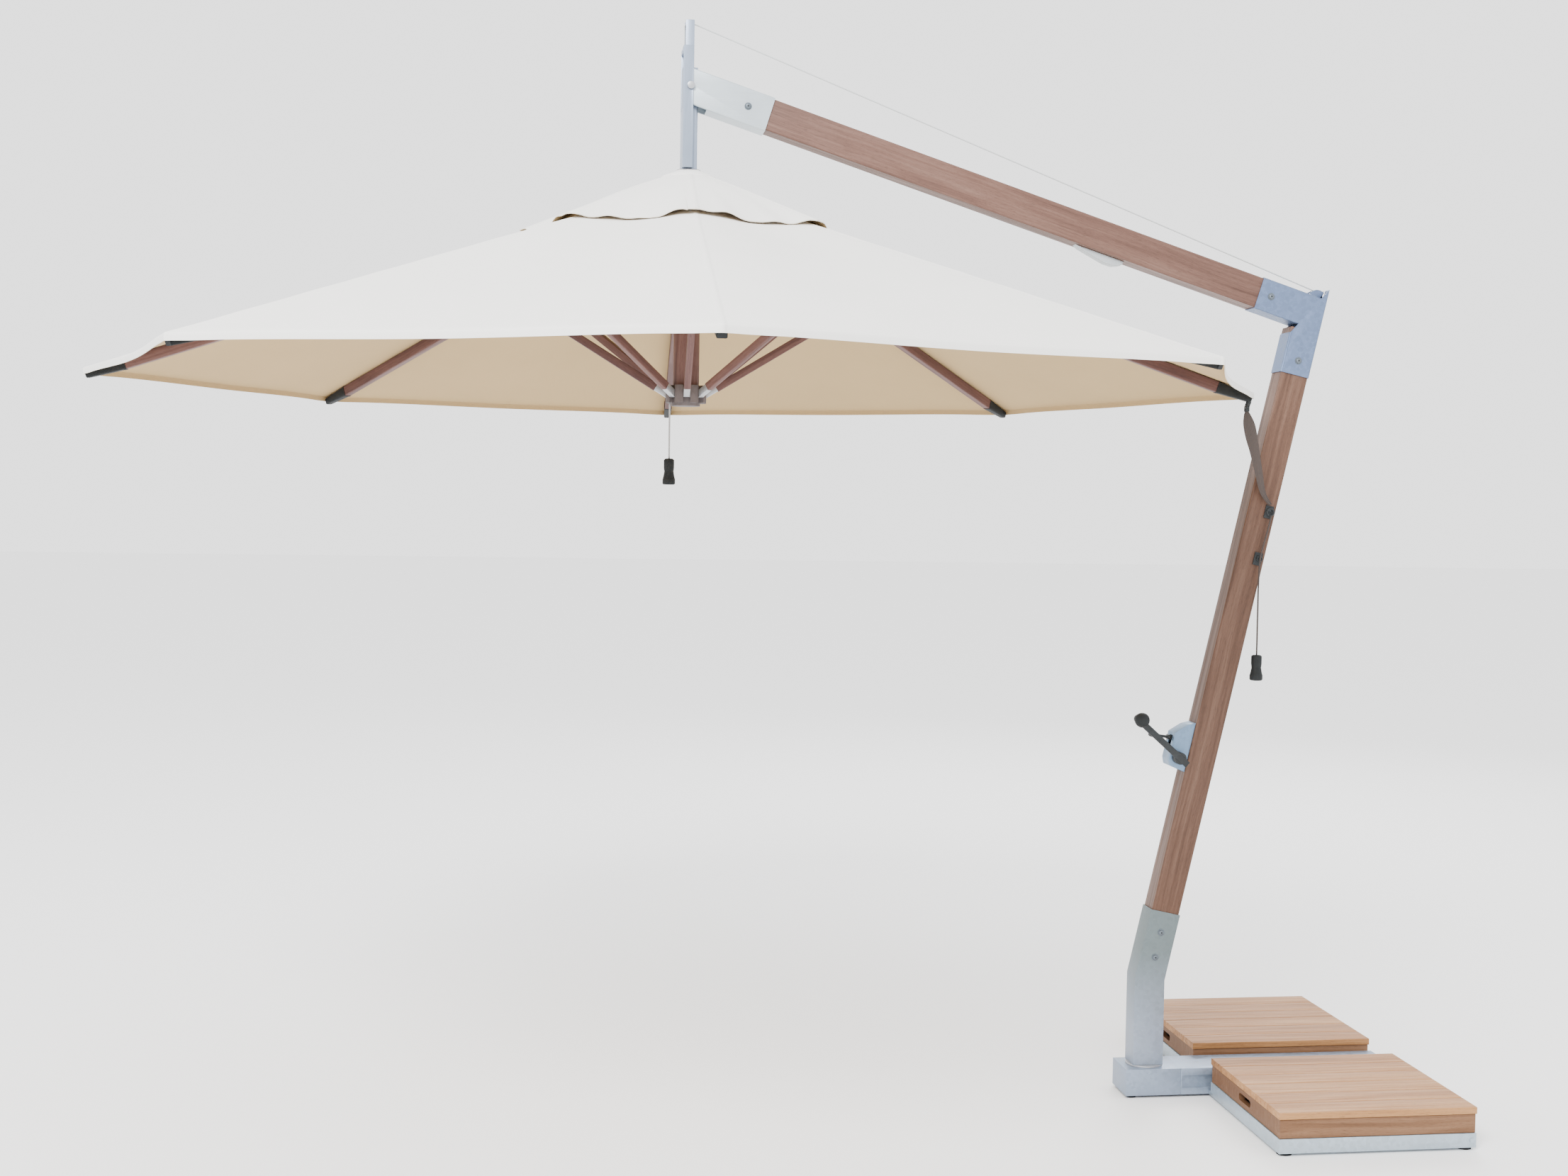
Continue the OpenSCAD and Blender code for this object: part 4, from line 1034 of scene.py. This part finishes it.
def main_surface(v, kind, value):
    """The stretched cover: it sags in each bay, puckers beside the seams and dips in at the hem."""
    turned = max(v - 1, 0)
    v = min(v, 1)
    radius = MAIN_INNER + (MAIN_OUTER - MAIN_INNER) * v
    share, distance = across_bay(radius, kind, value)
    s = abs(share)
    radius -= HEM_DIP * v ** 3 * math.sin(math.pi / 2 * s) ** 1.2
    sag = BAY_SAG * math.sin(math.pi * s / 2) ** 2 * (0.30 + 0.70 * math.sin(math.pi * min(v, 0.86)) ** 0.8)
    pucker = 0.0007 * math.sin(46 * v * (1 + 0.3 * s) + 5 * s) * math.exp(-((s - 0.08) / 0.10) ** 2)
    height = ridge_top - radius * math.tan(RIB_FALL) - sag + pucker - turned - CAD_THICKNESS / 2
    p = point_on_bay(radius, share, distance, height, 0.0015 * min(turned / 0.003, 1))
    return p, (radius + turned, p.y)


VENT_INNER, VENT_OUTER = 0.080, 0.500
VENT_TOP, VENT_EDGE, VENT_FROM = 2.828, 2.650, 0.038
VENT_CLEAR = 0.0045


def vent_surface(phase):
    """The vent is held at the ribs and hangs loose between them, so its edge waves."""
    def surface(v, kind, value):
        radius = VENT_INNER + (VENT_OUTER - VENT_INNER) * v
        share, distance = across_bay(radius, kind, value)
        s = abs(share)
        fall = (radius - VENT_FROM) / (VENT_OUTER - VENT_FROM)
        free = math.sin(math.pi * s / 2) ** 2
        own = math.sin(math.pi * s) ** 2
        side = math.copysign(1, value) if value else 1
        wave = 0.020 * v ** 2 * free + 0.009 * v ** 3 * own * math.sin(phase + 6.5 * s + 2 * side)
        height = (VENT_TOP + (VENT_EDGE - VENT_TOP) * fall - CAD_THICKNESS / 2
                  + 0.008 * math.sin(math.pi * v) * free - wave - 0.006 * v ** 2)
        if radius > MAIN_INNER:
            under = main_surface((radius - MAIN_INNER) / (MAIN_OUTER - MAIN_INNER), kind, value)[0]
            height = max(height, under.z + VENT_CLEAR)
        p = point_on_bay(radius, share, distance, height)
        return p, (radius, p.y)
    return surface


def half_bay(side, columns):
    """Places across a half bay, from left to right."""
    steps = [("share", side * (c / columns)) for c in range(columns + 1)]
    return steps if side > 0 else steps[::-1]


TURNED_HEM = 0.018
MAIN_ROWS = [n / 48 for n in range(49)] + [1.001, 1.003, 1.008, 1.013, 1 + TURNED_HEM]
VENT_ROWS = [n / 20 for n in range(21)]
MAIN_COLUMNS, VENT_COLUMNS = 16, 12
STRIP_HALF = (0.007, 0.0078, 0.0135, EDGE_OF_RIB)
SEAM_STRIP = [("near", n) for n in (*(-n for n in reversed(STRIP_HALF)), 0.0, *STRIP_HALF)]
for k in range(1, 9):
    plane = rib_plane(k)
    for layer, rows, columns, surface, (inner, outer, hem), hem_from in (
            ("canopy", MAIN_ROWS, MAIN_COLUMNS, main_surface, (MAIN_INNER, MAIN_OUTER, TURNED_HEM),
             1 - HEM / (MAIN_OUTER - MAIN_INNER)),
            ("vent", VENT_ROWS, VENT_COLUMNS, vent_surface(1.7 * k), (VENT_INNER, VENT_OUTER, 0), 0.95)):
        strip = place_piece(panel(f"{layer}_seam_{k}", rows, SEAM_STRIP, surface, hem_from), plane)
        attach(strip, f"rib_{k}")
        if layer == "canopy":
            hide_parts(f"canopy_{k}")
        for side, word in ((1, "left"), (-1, "right")):
            half = panel(f"{layer}_{word}_{k}", rows, half_bay(side, columns), surface, hem_from)
            place_piece(half, plane)
            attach(half, f"rib_{k}")
            if layer == "canopy":
                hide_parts(f"canopy_{k}")
            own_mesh(half)


# ---------------------------------------------------------------------------------------------
# Peak of the vent. A cone of the same cloth clamped on the crown, with a skirt tucked inside the
# vent's eight pieces. It stays with the king post when the canopy folds.
PEAK_SIDES = 64
profile = [(0.0345, 2.8335), (0.045, 2.8270), (0.080, 2.8133), (0.084, 2.8085), (0.088, 2.7750),
           (0.086, 2.7750), (0.0820, 2.8070), (0.078, 2.8110), (0.045, 2.8245), (0.0345, 2.8310)]
peak_points, peak_faces = [], []
for n in range(PEAK_SIDES):
    a = 2 * math.pi * n / PEAK_SIDES
    peak_points += [(POST_X + r * math.cos(a), r * math.sin(a), z) for r, z in profile]
steps = len(profile)
for n in range(PEAK_SIDES):
    m = (n + 1) % PEAK_SIDES
    for i in range(steps):
        j = (i + 1) % steps
        peak_faces.append((n * steps + i, m * steps + i, m * steps + j, n * steps + j))
peak = new_piece("vent_peak", peak_points, peak_faces)
face_outward(peak)
smooth_by_angle(peak, 50)
peak_map = peak.data.uv_layers.new(name="weave").data
for loop in peak.data.loops:
    peak_map[loop.index].uv = peak.data.vertices[loop.vertex_index].co.xy
paint(peak, cloth_top)
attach(peak, "king_post")


# ---------------------------------------------------------------------------------------------
# Tilt strap. Dark polyester webbing from a dark-coated shackle at the tip of the first rib to the
# ring on the mast: flat and wide at the top, gathered to a narrow end that is hooked to the ring.
paint(softened("strap_shackle", "shackle", 0.0008), dark_coat)
webbing, tree, shader = new_material("strap_webbing")
uv = mapped(tree, "along")
ribbed = [add(tree, "ShaderNodeTexWave", {"bands_direction": along}, Vector=uv, Scale=scale,
              Distortion=distortion).outputs["Fac"]
          for along, scale, distortion in (("Y", 140.0, 0.3), ("X", 4.0, 0))]
height = maths(tree, "MULTIPLY", *ribbed)
# Its colour follows the ribs of the weave: painted highlight on the ribs and painted shade between them.
feed(tree, shader, Roughness=0.8,
     Base_Color=scaled(tree, (0.060, 0.044, 0.038), ranged(tree, height, 0, 1, 0.7, 1.5)),
     Normal=bumped(tree, height, 0.5, 0.0006))

strap_top = Vector(joints["strap_swing"]["pos_m"]) + Vector((0, 0, -0.0035))
strap_line = [strap_top + Vector(step) for step in (
    (0, 0, 0), (0.002, 0.0002, -0.012), (0.009, 0.001, -0.040), (0.019, 0.003, -0.080),
    (0.032, 0.006, -0.126), (0.050, 0.011, -0.196), (0.066, 0.016, -0.251))]
strap_line.append(Vector((0.349, -0.054, 1.862)))
strap_widths = [0.0112, 0.022, 0.037, 0.038, 0.031, 0.024, 0.018, 0.012]


def smooth_run(points, steps):
    """Points on a smooth curve through the given ones."""
    run = []
    ends = [points[0]] + list(points) + [points[-1]]
    for i in range(1, len(ends) - 2):
        a, b, c, d = ends[i - 1:i + 3]
        for n in range(steps):
            t = n / steps
            run.append(0.5 * ((2 * b) + (c - a) * t + (2 * a - 5 * b + 4 * c - d) * t * t
                              + (3 * b - a - 3 * c + d) * t ** 3))
    return run + [points[-1]]


STRAP_STEPS = 6
STRAP_HALF_THICK = 0.0008
STRAP_WIDEST = max(strap_widths)
fine_line = smooth_run(strap_line, STRAP_STEPS)
fine_widths = smooth_run([Vector((w, 0, 0)) for w in strap_widths], STRAP_STEPS)
STRAP_COLUMNS = 8
strap_points, strap_faces, strap_map = [], [], []
for i, (centre, width) in enumerate(zip(fine_line, fine_widths)):
    for side in (-1, 1):
        for c in range(STRAP_COLUMNS + 1):
            across = (c / STRAP_COLUMNS - 0.5) * width.x
            gather = 0.0022 * (1 - width.x / STRAP_WIDEST) * math.sin(3 * math.pi * c / STRAP_COLUMNS)
            strap_points.append(centre + Vector((across, side * STRAP_HALF_THICK + gather, 0.12 * across)))
            strap_map.append((c / STRAP_COLUMNS, i * 0.012))
row = 2 * (STRAP_COLUMNS + 1)
loop_around = list(range(STRAP_COLUMNS + 1)) + list(range(row - 1, STRAP_COLUMNS, -1))
for i in range(len(fine_line) - 1):
    for a, b in zip(loop_around, loop_around[1:] + loop_around[:1]):
        strap_faces.append((i * row + a, i * row + b, (i + 1) * row + b, (i + 1) * row + a))
strap_faces.append(tuple(loop_around))
strap_faces.append(tuple((len(fine_line) - 1) * row + a for a in reversed(loop_around)))
strap = new_piece("strap_of_webbing", strap_points, strap_faces)
strap_uv = strap.data.uv_layers.new(name="along").data
for loop in strap.data.loops:
    strap_uv[loop.index].uv = strap_map[loop.vertex_index]
face_outward(strap)
smooth_by_angle(strap, 50)
paint(strap, webbing)
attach(strap, "strap")
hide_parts("tilt_strap")
